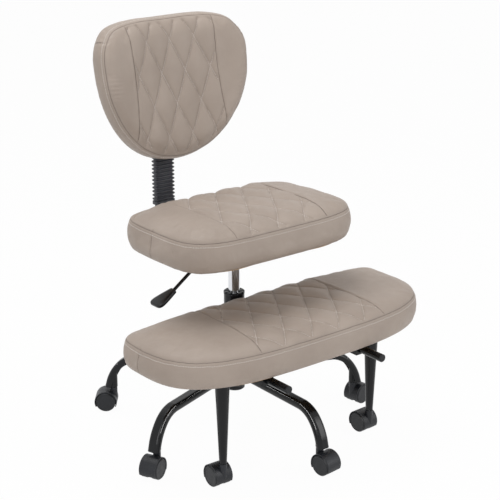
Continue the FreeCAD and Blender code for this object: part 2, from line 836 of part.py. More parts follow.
rail_length = s.rail_end - s.cross_y
for word, side in (("left", 1), ("right", -1)):
    spot = (s.rail_x * side, -s.rail_end, s.rail_level)
    keep(
        cut(
            "rail_%s_form" % word,
            cylinder("rail_%s_tube" % word, rail_r, rail_length, spot, "y"),
            cylinder("rail_%s_bore" % word, rail_r - s.rail_wall, rail_length, spot, "y"),
        ),
        "rail_" + word,
    )
plug_form = revolved(
    "plug_form",
    [
        (0, -12),
        (rail_r - s.rail_wall, -12),
        (rail_r - s.rail_wall, 0),
        (rail_r, 0),
        (rail_r, s.plug_cap - s.plug_bevel),
        (rail_r - s.plug_bevel, s.plug_cap),
        (0, s.plug_cap),
    ],
)
plugs = []
for word, side in (("left", 1), ("right", -1)):
    plugs.append(
        group(
            "plug_" + word,
            [plug_form],
            (s.rail_x * side, -s.rail_end, s.rail_level),
            (1, 0, 0),
            90,
        )
    )
keep(group("plugs", plugs), "rail_plugs")

sleeves = []
for word, side in (("left", 1), ("right", -1)):
    for place_word, back in (("rear", s.sleeve_rear), ("front", s.sleeve_front)):
        name = "sleeve_%s_%s" % (word, place_word)
        sleeves.append(
            cut(
                name,
                middle_box(
                    name + "_block",
                    s.sleeve_width,
                    s.sleeve_length,
                    s.foot_board - s.rail_level + s.sleeve_under,
                    (s.rail_x * side, -back, s.rail_level - s.sleeve_under),
                ),
                cylinder(
                    name + "_bore",
                    rail_r + s.run_gap,
                    s.sleeve_length + 4,
                    (s.rail_x * side, -back - s.sleeve_length / 2 - 2, s.rail_level),
                    "y",
                ),
            )
        )
keep(group("sleeves", sleeves), "rail_sleeves")

# Footrest legs: a tapered tube with a flange, bored for the caster stem
leg_length = s.foot_board - s.flange_thick - tip_z
leg_solid = fuse(
    "leg_solid",
    [
        cone("leg_cone", s.leg_end_dia / 2, s.leg_top_dia / 2, leg_length, (0, 0, tip_z)),
        cylinder(
            "leg_flange", s.flange_dia / 2, s.flange_thick, (0, 0, s.foot_board - s.flange_thick)
        ),
    ],
)
leg_cuts = [
    cylinder(
        "leg_bore",
        s.stem_dia / 2 + s.run_gap,
        s.stem_above - s.socket_gap + 1.5,
        (0, 0, tip_z - 0.5),
    )
]
leg_screw_r = s.flange_dia / 2 - 8
for k in range(3):
    turn = 30 + 120 * k
    leg_cuts.append(
        cylinder(
            "leg_hole_%d" % (k + 1),
            s.screw_dia / 2,
            s.flange_thick + 2,
            (
                leg_screw_r * math.cos(math.radians(turn)),
                leg_screw_r * math.sin(math.radians(turn)),
                s.foot_board - s.flange_thick - 1,
            ),
        )
    )
leg_form = cut("leg_form", leg_solid, leg_cuts)
keep(group("leg_left_form", [leg_form], (s.leg_x, -s.leg_y, 0)), "leg_left")
keep(group("leg_right_form", [leg_form], (-s.leg_x, -s.leg_y, 0)), "leg_right")


def wood_screw(name, length):
    """A pan head screw: head below the origin, shank above it."""
    return revolved(
        name,
        [
            (0, -3),
            (s.screw_head / 2 - 2, -3),
            (s.screw_head / 2, -1),
            (s.screw_head / 2, 0),
            (s.screw_dia / 2, 0),
            (s.screw_dia / 2, length - 2),
            (0, length),
        ],
    )


leg_screw = wood_screw("leg_screw", s.flange_thick + s.board_thick - 2)
leg_screw_set = []
for side in (1, -1):
    for k in range(3):
        turn = 30 + 120 * k
        leg_screw_set.append(
            group(
                "leg_screw_%d_%d" % (side + 2, k + 1),
                [leg_screw],
                (
                    s.leg_x * side + leg_screw_r * math.cos(math.radians(turn)),
                    -s.leg_y + leg_screw_r * math.sin(math.radians(turn)),
                    s.foot_board - s.flange_thick,
                ),
            )
        )
keep(group("leg_screws", leg_screw_set), "footrest_screws")


# Outlines of lines and arcs for boards and cushions
def biarc(a, ta, b, tb):
    """Two arcs that leave a along ta, meet smoothly and reach b along tb."""
    chord = b - a
    both = ta + tb
    w = both.dot(both) - 4
    lin = chord.dot(both)
    size = chord.dot(chord)
    if abs(w) < 1e-9:
        d = size / (2 * lin)
    else:
        d = (lin - math.sqrt(lin * lin - w * size)) / w
        if d <= 0:
            d = (lin + math.sqrt(lin * lin - w * size)) / w
    join = (a + ta * d + b - tb * d) * 0.5
    edges = []
    for start, heading, end in ((a, ta, join), (join, None, b)):
        if heading is None:
            heading = ((b - tb * d) - (a + ta * d)).normalize()
        step = end - start
        side = heading.cross(step)
        if side.Length < 1e-6 * step.Length:
            edges.append(Part.LineSegment(start, end))
            continue
        normal = heading.cross(step).normalize()
        left = normal.cross(heading)
        radius = step.dot(step) / (2 * step.dot(left))
        centre = start + left * radius
        middle = (start + end) * 0.5 - centre
        middle.normalize()
        edges.append(Part.Arc(start, centre + middle * radius, end))
    return edges


def knots_to_wire(knots):
    edges = []
    for i, (point, heading) in enumerate(knots):
        other, turned = knots[(i + 1) % len(knots)]
        for curve in biarc(point, heading, other, turned):
            edges.append(curve.toShape())
    return Part.Wire(edges)


def rounded_outline(half, front, rear, sharp_front, sharp_rear, level, shift):
    """A soft rectangle: half width, reach to front and rear, and how square each corner is."""
    knots = []
    for reach, power, sy in ((front, sharp_front, -1), (rear, sharp_rear, 1)):
        k = 0.5 ** (1.0 / power)
        corner = Vector(half * k, sy * reach * k, 0)
        tangent = Vector(half, -sy * reach, 0).normalize()
        if sy < 0:
            knots.append((Vector(0, -reach, 0), Vector(1, 0, 0)))
            knots.append((corner, Vector(half, reach, 0).normalize()))
            knots.append((Vector(half, 0, 0), Vector(0, 1, 0)))
        else:
            knots.append((corner, Vector(-half, reach, 0).normalize()))
            knots.append((Vector(0, reach, 0), Vector(-1, 0, 0)))
            knots.append((Vector(-corner.x, corner.y, 0), Vector(-half, -reach, 0).normalize()))
            knots.append((Vector(-half, 0, 0), Vector(0, -1, 0)))
    k = 0.5 ** (1.0 / sharp_front)
    knots.append((Vector(-half * k, -front * k, 0), Vector(half, -front, 0).normalize()))
    wire = knots_to_wire(knots)
    wire.translate(Vector(0, shift, level))
    return wire


def diamond_channels(half, low, high, pitch_x, pitch_y, node, width, bottom, top):
    """Thin upright walls along both families of stitched lines, within a panel."""
    walls = []
    lean = math.atan2(pitch_y, pitch_x)
    reach = (high - low) + half * 2
    count = int((half + (high - low) * pitch_x / pitch_y) / pitch_x) + 2
    for family in (1, -1):
        for k in range(-count, count + 1):
            wall = Part.makeBox(reach * 2, width, top - bottom, Vector(-reach, -width / 2, bottom))
            wall.rotate(Vector(0, 0, 0), Vector(0, 0, 1), math.degrees(lean) * family)
            wall.translate(Vector(k * pitch_x, node, 0))
            walls.append(wall)
    panel = Part.makeBox(
        half * 2, high - low, top - bottom + 2, Vector(-half, low, bottom - 1)
    )
    kept = []
    for wall in walls:
        piece = wall.common(panel)
        if piece.Volume > 1:
            kept.append(piece)
    return kept


def cushion(half, front, rear, sharp, mid, rim, seam, crown, panel, node, recess):
    """A boxed cushion: drawn-in lower edge, full side band, crowned top and stitched channels."""
    band = seam - rim
    lower = []
    for level, inset in (
        (0, 9), (band * 0.12, 2), (band * 0.35, -4), (band * 0.65, -5), (band * 0.9, -2), (band, 0.5),
    ):
        lower.append(
            rounded_outline(
                half - inset, front - inset, rear - inset, sharp[0], sharp[1], rim + level, -mid
            )
        )
    upper = []
    for rise, inset in ((0, 0.5), (0.32, 5), (0.58, 18), (0.8, 42), (0.94, 72), (1, 100)):
        inset = min(inset, rear * 0.72)
        upper.append(
            rounded_outline(
                half - inset,
                front - inset,
                rear - inset,
                sharp[0] * (1 - 0.002 * inset),
                sharp[1] * (1 - 0.003 * inset),
                seam + crown * rise,
                -mid,
            )
        )
    base = Part.makeLoft(lower, True, True)
    top = Part.makeLoft(upper, True, True)
    body = base.fuse(top)
    width = num(s.channel_width)
    deep = num(s.channel_depth)
    low = -mid - front - 10
    high = -mid + rear + 10
    walls = diamond_channels(
        panel, low, high, num(s.quilt_x), num(s.quilt_y), node, width, seam + 2, seam + crown + 5
    )
    for side in (1, -1):
        walls.append(
            Part.makeBox(
                width, high - low, crown + 3, Vector(side * panel - width / 2, low, seam + 2)
            )
        )
    grid = walls[0].multiFuse(walls[1:])
    lowered = body.copy()
    lowered.translate(Vector(0, 0, -deep))
    body = body.cut(grid.cut(lowered))
    if recess is not None:
        body = body.cut(recess)
    return body.removeSplitter()


def board(half, front, rear, sharp, mid, level, grow, thick):
    inset = num(s.board_inset) - grow
    wire = rounded_outline(
        half - inset, front - inset, rear - inset, sharp[0], sharp[1], level, -mid
    )
    return Part.Face(wire).extrude(Vector(0, 0, thick))


foot_sharp = (3.2, 4.6)
seat_sharp = (4.8, 5.2)
foot = [
    num(s.foot_half),
    num(s.foot_front - s.foot_mid),
    num(s.foot_mid - s.foot_rear),
    foot_sharp,
    num(s.foot_mid),
]
seat = [
    num(s.seat_half),
    num(s.seat_front - s.seat_mid),
    num(s.seat_rear + s.seat_mid),
    seat_sharp,
    num(s.seat_mid),
]
gap = num(s.seat_gap)
thick = num(s.board_thick)


def screw_holes(spots, radius, level, deep):
    return [Part.makeCylinder(radius, deep, Vector(x, y, level)) for x, y in spots]


foot_spots = []
for side in (1, -1):
    for k in range(3):
        turn = math.radians(30 + 120 * k)
        foot_spots.append(
            (
                side * num(s.leg_x) + num(leg_screw_r) * math.cos(turn),
                -num(s.leg_y) + num(leg_screw_r) * math.sin(turn),
            )
        )
foot_board = board(*foot, num(s.foot_board), 0, thick)
for hole in screw_holes(foot_spots, num(s.screw_dia) / 2, num(s.foot_board) - 1, thick - 0.5):
    foot_board = foot_board.cut(hole)
keep(shaped("foot_board_form", foot_board), "footrest_board")
foot_recess = board(*foot, num(s.foot_board) - 2, gap, thick + 2 + gap)
keep(
    shaped(
        "foot_cushion_form",
        cushion(
            *foot,
            num(s.foot_rim),
            num(s.foot_seam),
            num(s.foot_crown),
            num(s.foot_panel),
            -num(s.foot_node),
            foot_recess,
        ),
    ),
    "footrest_cushion",
)

# Seat plate: a pressed sheet with a box, a taper socket and a channel for the bar
sheet_z = s.seat_board - s.plate_thick
box_z = sheet_z - s.box_depth
inner_bar = s.bar_width / 2 + s.bar_gap
channel_low = sheet_z - s.bar_thick - s.bar_gap * 2
plate_solid = fuse(
    "plate_solid",
    [
        middle_box("plate_sheet", s.plate_x, s.plate_y, s.plate_thick, (0, s.plate_shift, sheet_z)),
        middle_box("plate_box", s.box_x, s.box_y, s.box_depth, (0, 0, box_z)),
        cylinder("taper_wall", s.taper_dia / 2, s.taper_height, (0, 0, box_z - s.taper_below)),
        box(
            "channel_block",
            inner_bar * 2 + s.channel_wall * 2,
            s.channel_end - s.box_y / 2 + 2,
            s.bar_thick + s.bar_gap * 2 + s.channel_wall,
            (-inner_bar - s.channel_wall, s.box_y / 2 - 2, channel_low - s.channel_wall),
        ),
        cylinder(
            "channel_nut",
            s.knob_neck / 2,
            s.nut_height,
            (0, s.knob_y, channel_low - s.channel_wall - s.nut_height),
        ),
    ],
)
box_inside = cut(
    "box_inside",
    middle_box(
        "box_space",
        s.box_x - s.plate_thick * 2,
        s.box_y - s.plate_thick * 2,
        s.box_depth - s.plate_thick,
        (0, 0, box_z + s.plate_thick),
    ),
    cylinder("taper_keep", s.taper_dia / 2, s.taper_height, (0, 0, box_z - s.taper_below)),
)
taper_start = s.lift_top - s.lift_taper
plate_cuts = [
    box_inside,
    cone("taper_bore", lift_r, s.lift_end_dia / 2, s.lift_taper, (0, 0, taper_start)),
    cylinder("taper_entry", lift_r, 20, (0, 0, taper_start - 20)),
    box(
        "bar_space",
        inner_bar * 2,
        s.channel_end - s.box_y / 2 + 14,
        s.bar_thick + s.bar_gap * 2,
        (-inner_bar, s.box_y / 2 - 12, channel_low),
    ),
    box(
        "lever_slot",
        14,
        s.lever_dia + 6,
        s.lever_dia + 7,
        (-s.box_x / 2 - 5, -s.lever_dia / 2 - 3, s.lever_z - s.lever_dia / 2 - 2),
    ),
    cylinder(
        "pivot_holes", s.pivot_dia / 2, s.box_y + 4, (-s.lever_pivot_x, -s.box_y / 2 - 2, s.lever_z), "y"
    ),
    cylinder(
        "knob_hole",
        s.knob_stud / 2 + s.run_gap,
        s.nut_height + s.channel_wall + 4,
        (0, s.knob_y, channel_low - s.channel_wall - s.nut_height - 2),
    ),
]
bolt_spots = []
for i, (sx, sy) in enumerate(((1, 1), (1, -1), (-1, 1), (-1, -1))):
    bolt_spots.append((s.bolt_x * sx, s.plate_shift + s.bolt_y * sy))
    plate_cuts.append(
        cylinder(
            "bolt_hole_%d" % (i + 1),
            s.bolt_dia / 2,
            s.plate_thick + 2,
            (bolt_spots[-1][0], bolt_spots[-1][1], sheet_z - 1),
        )
    )
keep(cut("plate_form", plate_solid, plate_cuts), "seat_plate")
bolt_form = fuse(
    "bolt_form",
    [
        cylinder("bolt_shank", s.bolt_dia / 2, s.plate_thick + s.board_thick - 3),
        cone("bolt_head_form", s.bolt_head / 2 - 1, s.bolt_head / 2, 4, (0, 0, -4)),
    ],
)
keep(
    group(
        "bolts",
        [
            group("bolt_%d" % (i + 1), [bolt_form], (x, y, sheet_z))
            for i, (x, y) in enumerate(bolt_spots)
        ],
    ),
    "seat_bolts",
)

seat_board = board(*seat, num(s.seat_board), 0, thick)
seat_spots = [(num(x), num(y)) for x, y in bolt_spots]
for hole in screw_holes(seat_spots, num(s.bolt_dia) / 2, num(s.seat_board) - 1, thick - 1.5):
    seat_board = seat_board.cut(hole)
keep(shaped("seat_board_form", seat_board), "seat_board")
seat_recess = board(*seat, num(s.seat_board) - 2, gap, thick + 2 + gap)
keep(
    shaped(
        "seat_cushion_form",
        cushion(
            *seat,
            num(s.seat_rim),
            num(s.seat_seam),
            num(s.seat_crown),
            num(s.seat_panel),
            -num(s.seat_node),
            seat_recess,
        ),
    ),
    "seat_cushion",
)

# Height lever: a bent rod with a pivot barrel, its pin and a flat grip
lever_r = num(s.lever_dia) / 2
lever_height = num(s.lever_z)
bend_low = Vector(-num(s.box_x) / 2 - 24, 0, lever_height)
bend_grip = bend_low + Vector(-112, -10, -69)
grip_way = Vector(-0.914, 0, -0.407).normalize()
lever_path = [Vector(12, 0, lever_height), bend_low, bend_grip, bend_grip + grip_way * 32]
lever_parts = []
for a, b in zip(lever_path, lever_path[1:]):
    lever_parts.append(Part.makeCylinder(lever_r, (b - a).Length, a, b - a))
for point in lever_path[1:3]:
    lever_parts.append(Part.makeSphere(lever_r, point))
rod_only = lever_parts[0].multiFuse(lever_parts[1:])
pivot_at = Vector(-num(s.lever_pivot_x), 0, lever_height)
barrel = Part.makeCylinder(
    num(s.barrel_dia) / 2,
    num(s.barrel_length),
    pivot_at - Vector(0, num(s.barrel_length) / 2, 0),
    Vector(0, 1, 0),
)
pin_bore = Part.makeCylinder(
    num(s.pivot_dia) / 2 + num(s.run_gap),
    num(s.barrel_length) + 4,
    pivot_at - Vector(0, num(s.barrel_length) / 2 + 2, 0),
    Vector(0, 1, 0),
)
keep(shaped("lever_form", rod_only.fuse(barrel).cut(pin_bore)), "height_lever")
keep(
    cylinder(
        "pivot_form",
        s.pivot_dia / 2,
        s.box_y,
        (-s.lever_pivot_x, -s.box_y / 2, s.lever_z),
        "y",
    ),
    "lever_pivot",
)
grip_half = num(s.paddle_width) / 2
grip_long = num(s.paddle_length)
grip_outline = Part.Wire(
    [
        Part.LineSegment(Vector(0, -9, 0), Vector(0, 9, 0)).toShape(),
        Part.LineSegment(Vector(0, 9, 0), Vector(grip_long - 14, grip_half, 0)).toShape(),
        Part.Arc(
            Vector(grip_long - 14, grip_half, 0),
            Vector(grip_long, 0, 0),
            Vector(grip_long - 14, -grip_half, 0),
        ).toShape(),
        Part.LineSegment(Vector(grip_long - 14, -grip_half, 0), Vector(0, -9, 0)).toShape(),
    ]
)
grip_solid = Part.Face(grip_outline).extrude(Vector(0, 0, num(s.paddle_thick)))
grip_solid = grip_solid.makeFillet(
    num(s.paddle_thick) * 0.3, [e for e in grip_solid.Edges if e.BoundBox.ZLength < 0.01]
)
grip_turn = Rotation(Vector(0, 1, 0), 180 - math.degrees(math.atan2(-grip_way.z, -grip_way.x)))
grip_up = grip_turn.multVec(Vector(0, 0, 1))
grip_move = Placement(bend_grip - grip_way * 2, grip_turn)
grip_solid.translate(Vector(0, 0, -num(s.paddle_thick) / 2))
grip_solid = grip_solid.transformGeometry(grip_move.toMatrix())
keep(shaped("paddle_form", grip_solid.cut(rod_only)), "lever_paddle")

# Back bar: flat steel that runs back under the seat, turns up and leans with the back
bar_z = channel_low + s.bar_gap + s.bar_thick / 2
half_bar = s.bar_thick / 2
t_cos = cos_of(s.back_tilt)
t_sin = sin_of(s.back_tilt)
lean_in = s.bar_lean_bend - half_bar
lean_out = s.bar_lean_bend + half_bar
rear_y = s.bar_y + s.bar_lean_bend - lean_in * t_cos
rear_z = s.bar_lean_z + lean_in * t_sin
fore_y = s.bar_y + s.bar_lean_bend - lean_out * t_cos
fore_z = s.bar_lean_z + lean_out * t_sin
bar_outline = [
    (s.bar_front, bar_z - half_bar),
    (s.bar_y - s.bar_bend, bar_z - half_bar),
    (s.bar_y + half_bar, bar_z + s.bar_bend, s.bar_bend + half_bar, False),
    (s.bar_y + half_bar, s.bar_lean_z),
    (rear_y, rear_z, lean_in, True),
    (rear_y + s.bar_top * t_sin, rear_z + s.bar_top * t_cos),
    (fore_y + s.bar_top * t_sin, fore_z + s.bar_top * t_cos),
    (fore_y, fore_z),
    (s.bar_y - half_bar, s.bar_lean_z, lean_out, False),
    (s.bar_y - half_bar, bar_z + s.bar_bend),
    (s.bar_y - s.bar_bend, bar_z + half_bar, s.bar_bend - half_bar, True),
    (s.bar_front, bar_z + half_bar),
]
keep(padded("bar_form", "YZ_Plane", bar_outline, s.bar_width), "back_bar")

# Ribbed sleeve: a ruled loft through rounded rectangles that follow the bar
tilt = math.radians(num(s.back_tilt))
lean_start = num(s.bar_lean_z)
lean_radius = num(s.bar_lean_bend)
bar_mid = num(s.bar_y)


def along_bar(way):
    """Point and slope of the bar's middle line at a height or a way beyond the bend."""
    if way <= lean_start:
        return Vector(0, bar_mid, way), 0.0
    turn = (way - lean_start) / lean_radius
    if turn <= tilt:
        centre = Vector(0, bar_mid + lean_radius, lean_start)
        return centre + Vector(0, -math.cos(turn), math.sin(turn)) * lean_radius, turn
    end = Vector(0, bar_mid + lean_radius * (1 - math.cos(tilt)), lean_start + lean_radius * math.sin(tilt))
    rest = way - lean_start - lean_radius * tilt
    return end + Vector(0, math.sin(tilt), math.cos(tilt)) * rest, tilt


def rounded_section(wide, deep, radius, way):
    x, y = wide / 2, deep / 2
    r = radius
    k = r * (1 - math.sqrt(0.5))
    edges = []
    for sx, sy, order in ((1, 1, 0), (-1, 1, 1), (-1, -1, 0), (1, -1, 1)):
        start = Vector(sx * x, sy * (y - r), 0)
        end = Vector(sx * (x - r), sy * y, 0)
        middle = Vector(sx * (x - k), sy * (y - k), 0)
        if order:
            start, end = end, start
        edges.append((start, middle, end))
    curves = []
    for i, (start, middle, end) in enumerate(edges):
        curves.append(Part.Arc(start, middle, end).toShape())
        follow = edges[(i + 1) % 4][0]
        curves.append(Part.LineSegment(end, follow).toShape())
    wire = Part.Wire(curves)
    point, turn = along_bar(way)
    wire.Placement = Placement(point, Rotation(Vector(1, 0, 0), -math.degrees(turn)))
    return wire


pitch = num(s.bellows_pitch)
dip = num(s.bellows_dip)
wide = num(s.bellows_width)
deep = num(s.bellows_deep)
low = num(s.bellows_bottom)
bracket_low = num(s.bracket_mid) - num(s.bracket_block) / 2
rib_top = lean_start + lean_radius * tilt + 20
rib_count = int((rib_top - low - 10) / pitch)
levels = [(low, 0), (low + 8, 0), (low + 8.6, dip)]
for k in range(rib_count):
    start = low + 9.6 + k * pitch
    levels += [
        (start + pitch * 0.2, dip * 0.1),
        (start + pitch * 0.55, dip * 0.1),
        (start + pitch * 0.8, dip),
    ]
    if k < rib_count - 1:
        levels.append((start + pitch * 0.98, dip))
sections = [
    rounded_section(wide - 2 * inset, deep - 2 * inset, 5 - inset * 0.5, way) for way, inset in levels
]
sleeve = Part.makeLoft(sections, True, True)
fit = num(s.bellows_fit)
bores = []
steps = [low - 1, lean_start]
steps += [lean_start + lean_radius * tilt * k / 4 for k in (1, 2, 3, 4)]
steps.append(levels[-1][0] + 1)
bore_wires = [
    rounded_section(num(s.bar_width) + 2 * fit, num(s.bar_thick) + 2 * fit + 0.4, 0.4, way)
    for way in steps
]
keep(shaped("bellows_form", sleeve.cut(Part.makeLoft(bore_wires, True, True))), "bar_bellows")


# Clamp knobs: a lobed grip with its stud, drawn with the stud along +Z
def knob(name, stud_length):
    body = revolved(
        name,
        [
            (0, 0),
            (s.knob_dia / 2 - 3, 0),
            (s.knob_dia / 2, 3),
            (s.knob_dia / 2, s.knob_height - 5),
            (s.knob_dia / 2 - 4, s.knob_height),
            (s.knob_stud / 2 + 2, s.knob_height),
            (s.knob_stud / 2, s.knob_height),
            (s.knob_stud / 2, s.knob_height + stud_length),
            (0, s.knob_height + stud_length),
        ],
    )
    grooves = []
    for k in range(6):
        turn = math.radians(60 * k)
        reach = s.knob_dia / 2 + 2.5
        grooves.append(
            cylinder(
                "%s_groove_%d" % (name, k + 1),
                s.knob_groove / 2,
                s.knob_height + 2,
                (reach * math.cos(turn), reach * math.sin(turn), -1),
            )
        )
    return cut(name + "_lobed", body, grooves)


knob_drop = s.nut_height + s.channel_wall - s.seat_gap + 2
depth_knob = knob("depth_knob", knob_drop)
knob_base_z = channel_low - s.channel_wall - s.nut_height - 2 - s.knob_height
keep(
    group("depth_knob_set", [depth_knob], (0, s.knob_y, knob_base_z + s.bar_gap)),
    "back_depth_knob",
)


# The back has its own frame: X across, Y away from the sitter, Z up along the back
def on_back(item):
    place(item, (0, s.back_y, s.back_z), (1, 0, 0), -s.back_tilt)
    return item


bar_offset_y = s.bar_y + s.bar_lean_bend - s.bar_lean_bend * t_cos - s.back_y
bar_offset_z = s.bar_lean_z + s.bar_lean_bend * t_sin - s.back_z
bar_n = bar_offset_y * t_cos - bar_offset_z * t_sin
shell_back = s.back_band + s.shell_thick
plate_n = shell_back + s.pad_lift
block_low = s.bracket_mid - s.bracket_block / 2
bracket_solid = fuse(
    "bracket_solid",
    [
        box(
            "bracket_plate",
            s.bracket_x,
            3,
            s.bracket_v,
            (-s.bracket_x / 2, plate_n, s.bracket_mid - s.bracket_v / 2),
        ),
        box(
            "bracket_body",
            inner_bar * 2 + s.bracket_wall * 2,
            bar_n + half_bar + s.bar_gap + s.bracket_wall - plate_n,
            s.bracket_block,
            (-inner_bar - s.bracket_wall, plate_n, block_low),
        ),
        cylinder(
            "bracket_nut",
            s.knob_neck / 2,
            s.nut_height,
            (0, bar_n + half_bar + s.bar_gap + s.bracket_wall, s.bracket_mid),
            "y",
        ),
    ],
)
bracket_cuts = [
    box(
        "bracket_space",
        inner_bar * 2,
        s.bar_thick + s.bar_gap * 2,
        s.bracket_block + 4,
        (-inner_bar, bar_n - half_bar - s.bar_gap, block_low - 2),
    ),
    cylinder(
        "bracket_hole",
        s.knob_stud / 2 + s.run_gap,
        s.bracket_wall + s.nut_height + 4,
        (0, bar_n + half_bar + s.bar_gap - 2, s.bracket_mid),
        "y",
    ),
]
screw_spots = []
for i, (sx, sy) in enumerate(((1, 1), (1, -1), (-1, 1), (-1, -1))):
    spot = ((s.bracket_x / 2 - 12) * sx, s.bracket_mid + (s.bracket_v / 2 - 14) * sy)
    screw_spots.append(spot)
    bracket_cuts.append(
        cylinder("bracket_screw_hole_%d" % (i + 1), s.screw_dia / 2, 7, (spot[0], plate_n - 2, spot[1]), "y")
    )
bracket_form = cut("bracket_form", bracket_solid, bracket_cuts)
keep(on_back(group("bracket_set", [bracket_form])), "back_bracket")

height_knob = knob("height_knob", s.nut_height + s.bracket_wall + s.bar_gap * 2 - s.seat_gap)
knob_n = bar_n + half_bar + s.bar_gap + s.bracket_wall + s.nut_height + s.knob_height + s.seat_gap
turned_knob = group(
    "height_knob_turned", [height_knob], (0, knob_n, s.bracket_mid), (1, 0, 0), 90
)
keep(on_back(group("height_knob_set", [turned_knob])), "back_height_knob")

back_screw = wood_screw("back_screw", 12)
back_screws = []
for i, (x, v) in enumerate(screw_spots):
    back_screws.append(
        group("back_screw_%d" % (i + 1), [back_screw], (x, plate_n + 3, v), (1, 0, 0), 90)
    )
keep(on_back(group("back_screw_set", back_screws)), "backrest_screws")


def shield_outline(inset):
    """The shield shape of the back in its own X and Z: wide nearly straight top, round foot."""
    d = inset
    knots = []
    for x, v, hx, hv in (
        (0, 124, 1, 0),
        (128, 119.5, 0.985, -0.17),
        (181, 96, 0.66, -0.75),
        (205, 40, 0.03, -1),
        (188, -72, -0.38, -0.925),
        (121, -163, -0.79, -0.61),
        (0, -203, -1, 0),
    ):
        heading = Vector(hx, 0, hv).normalize()
        inward = Vector(hv, 0, -hx).normalize()
        knots.append((Vector(x, 0, v) + inward * d, heading))
    mirrored = []
    for point, heading in reversed(knots[1:-1]):
        mirrored.append((Vector(-point.x, 0, point.z), Vector(heading.x, 0, -heading.z)))
    for index, (point, heading) in enumerate(mirrored):
        mirrored[index] = (point, heading)
    return knots_to_wire(knots + mirrored)


def hollow_slab(near, far):
    """Space between two upright cylinders around the sitter, in the frame of the back."""
    radius = num(s.back_radius)
    axis = Vector(0, -radius, -400)
    outer = Part.makeCylinder(radius + far, 800, axis)
    inner = Part.makeCylinder(radius + near, 800, axis)
    return outer.cut(inner)


def back_slice(inset, near, far):
    face = Part.Face(shield_outline(inset))
    prism = face.extrude(Vector(0, 260, 0))
    prism.translate(Vector(0, -130, 0))
    return prism.common(hollow_slab(near, far)).Solids[0]


def ring_edges(shape, distance):
    """Edges that lie at one distance from the axis of the hollow."""
    radius = num(s.back_radius)
    found = []
    for edge in shape.Edges:
        close = True
        for part in (0.02, 0.5, 0.98):
            span = edge.LastParameter - edge.FirstParameter
            p = edge.valueAt(edge.FirstParameter + span * part)
            if abs(math.hypot(p.x, p.y + radius) - radius - distance) > 0.01:
                close = False
        if close:
            found.append(edge)
    return found


near = -num(s.back_crown)
band = num(s.back_band)
pillow = back_slice(0, near, band)
pillow = pillow.makeFillet(num(s.back_round), ring_edges(pillow, near))
pillow = pillow.makeFillet(6, ring_edges(pillow, band))
channel = num(s.channel_width)
walls = diamond_channels(
    num(s.back_panel) + 6, -190, 112, num(s.quilt_back_x), num(s.quilt_back_y), 73, channel, 0, 80
)
wall_set = walls[0].multiFuse(walls[1:])
for side in (1, -1):
    panel_wall = Part.makeBox(
        channel, 320, 80, Vector(side * (num(s.back_panel) + 5) - channel / 2, -200, 0)
    )
    wall_set = wall_set.fuse(panel_wall)
wall_set.rotate(Vector(0, 0, 0), Vector(1, 0, 0), 90)
wall_set.translate(Vector(0, 20, 0))
grooves = wall_set.common(hollow_slab(near - 5, near + num(s.channel_depth)))
pillow = pillow.cut(grooves)
keep(on_back(shaped("back_cushion_form", pillow)), "backrest_cushion")

shell_shape = back_slice(num(s.shell_inset), band + gap, num(shell_back))
shell_pad = Part.makeBox(
    num(s.bracket_x) + 6,
    num(s.pad_lift) + 8,
    num(s.bracket_v) + 6,
    Vector(
        -num(s.bracket_x) / 2 - 3,
        num(shell_back) - 8,
        num(s.bracket_mid) - num(s.bracket_v) / 2 - 3,
    ),
)
shell_shape = shell_shape.fuse(shell_pad)
for x, v in screw_spots:
    hole = Part.makeCylinder(
        num(s.screw_dia) / 2,
        12,
        Vector(num(x), num(plate_n) + 3, num(v)),
        Vector(0, -1, 0),
    )
    shell_shape = shell_shape.cut(hole)
keep(on_back(shaped("back_shell_form", shell_shape.removeSplitter())), "backrest_shell")

# Every object must be sound before anything is written
doc.recompute()
for item in doc.Objects:
    if "Invalid" in item.State or "Error" in item.State:
        raise ValueError("failed: %s %s" % (item.Name, item.State))
for item in nodes:
    shape = item.Shape
    if shape.isNull() or not shape.isValid() or not shape.Solids:
        raise ValueError("not sound: " + item.Label)
os.makedirs("parts", exist_ok=True)
for item in nodes:
    item.Shape.exportStep("parts/%s.step" % item.Label)
print("pieces", len(nodes), "solids", sum(len(item.Shape.Solids) for item in nodes))
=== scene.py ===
import json
import math

import bpy
import numpy as np
from mathutils import Matrix, Vector
from mathutils.bvhtree import BVHTree


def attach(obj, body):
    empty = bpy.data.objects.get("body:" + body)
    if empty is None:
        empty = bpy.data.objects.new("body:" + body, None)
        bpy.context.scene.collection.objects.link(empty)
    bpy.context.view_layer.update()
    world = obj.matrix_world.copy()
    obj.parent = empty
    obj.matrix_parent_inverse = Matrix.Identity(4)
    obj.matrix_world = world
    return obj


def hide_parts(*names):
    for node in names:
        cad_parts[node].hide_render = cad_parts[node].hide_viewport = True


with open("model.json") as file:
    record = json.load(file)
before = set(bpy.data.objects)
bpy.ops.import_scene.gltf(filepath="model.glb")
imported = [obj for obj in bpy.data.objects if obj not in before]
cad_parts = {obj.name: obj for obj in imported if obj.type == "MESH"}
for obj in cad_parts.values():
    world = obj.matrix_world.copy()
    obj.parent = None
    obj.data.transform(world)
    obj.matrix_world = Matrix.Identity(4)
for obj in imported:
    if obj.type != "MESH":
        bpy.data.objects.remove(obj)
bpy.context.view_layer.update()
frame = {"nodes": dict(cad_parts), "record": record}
scene = bpy.context.scene
scene.view_settings.view_transform = "Standard"

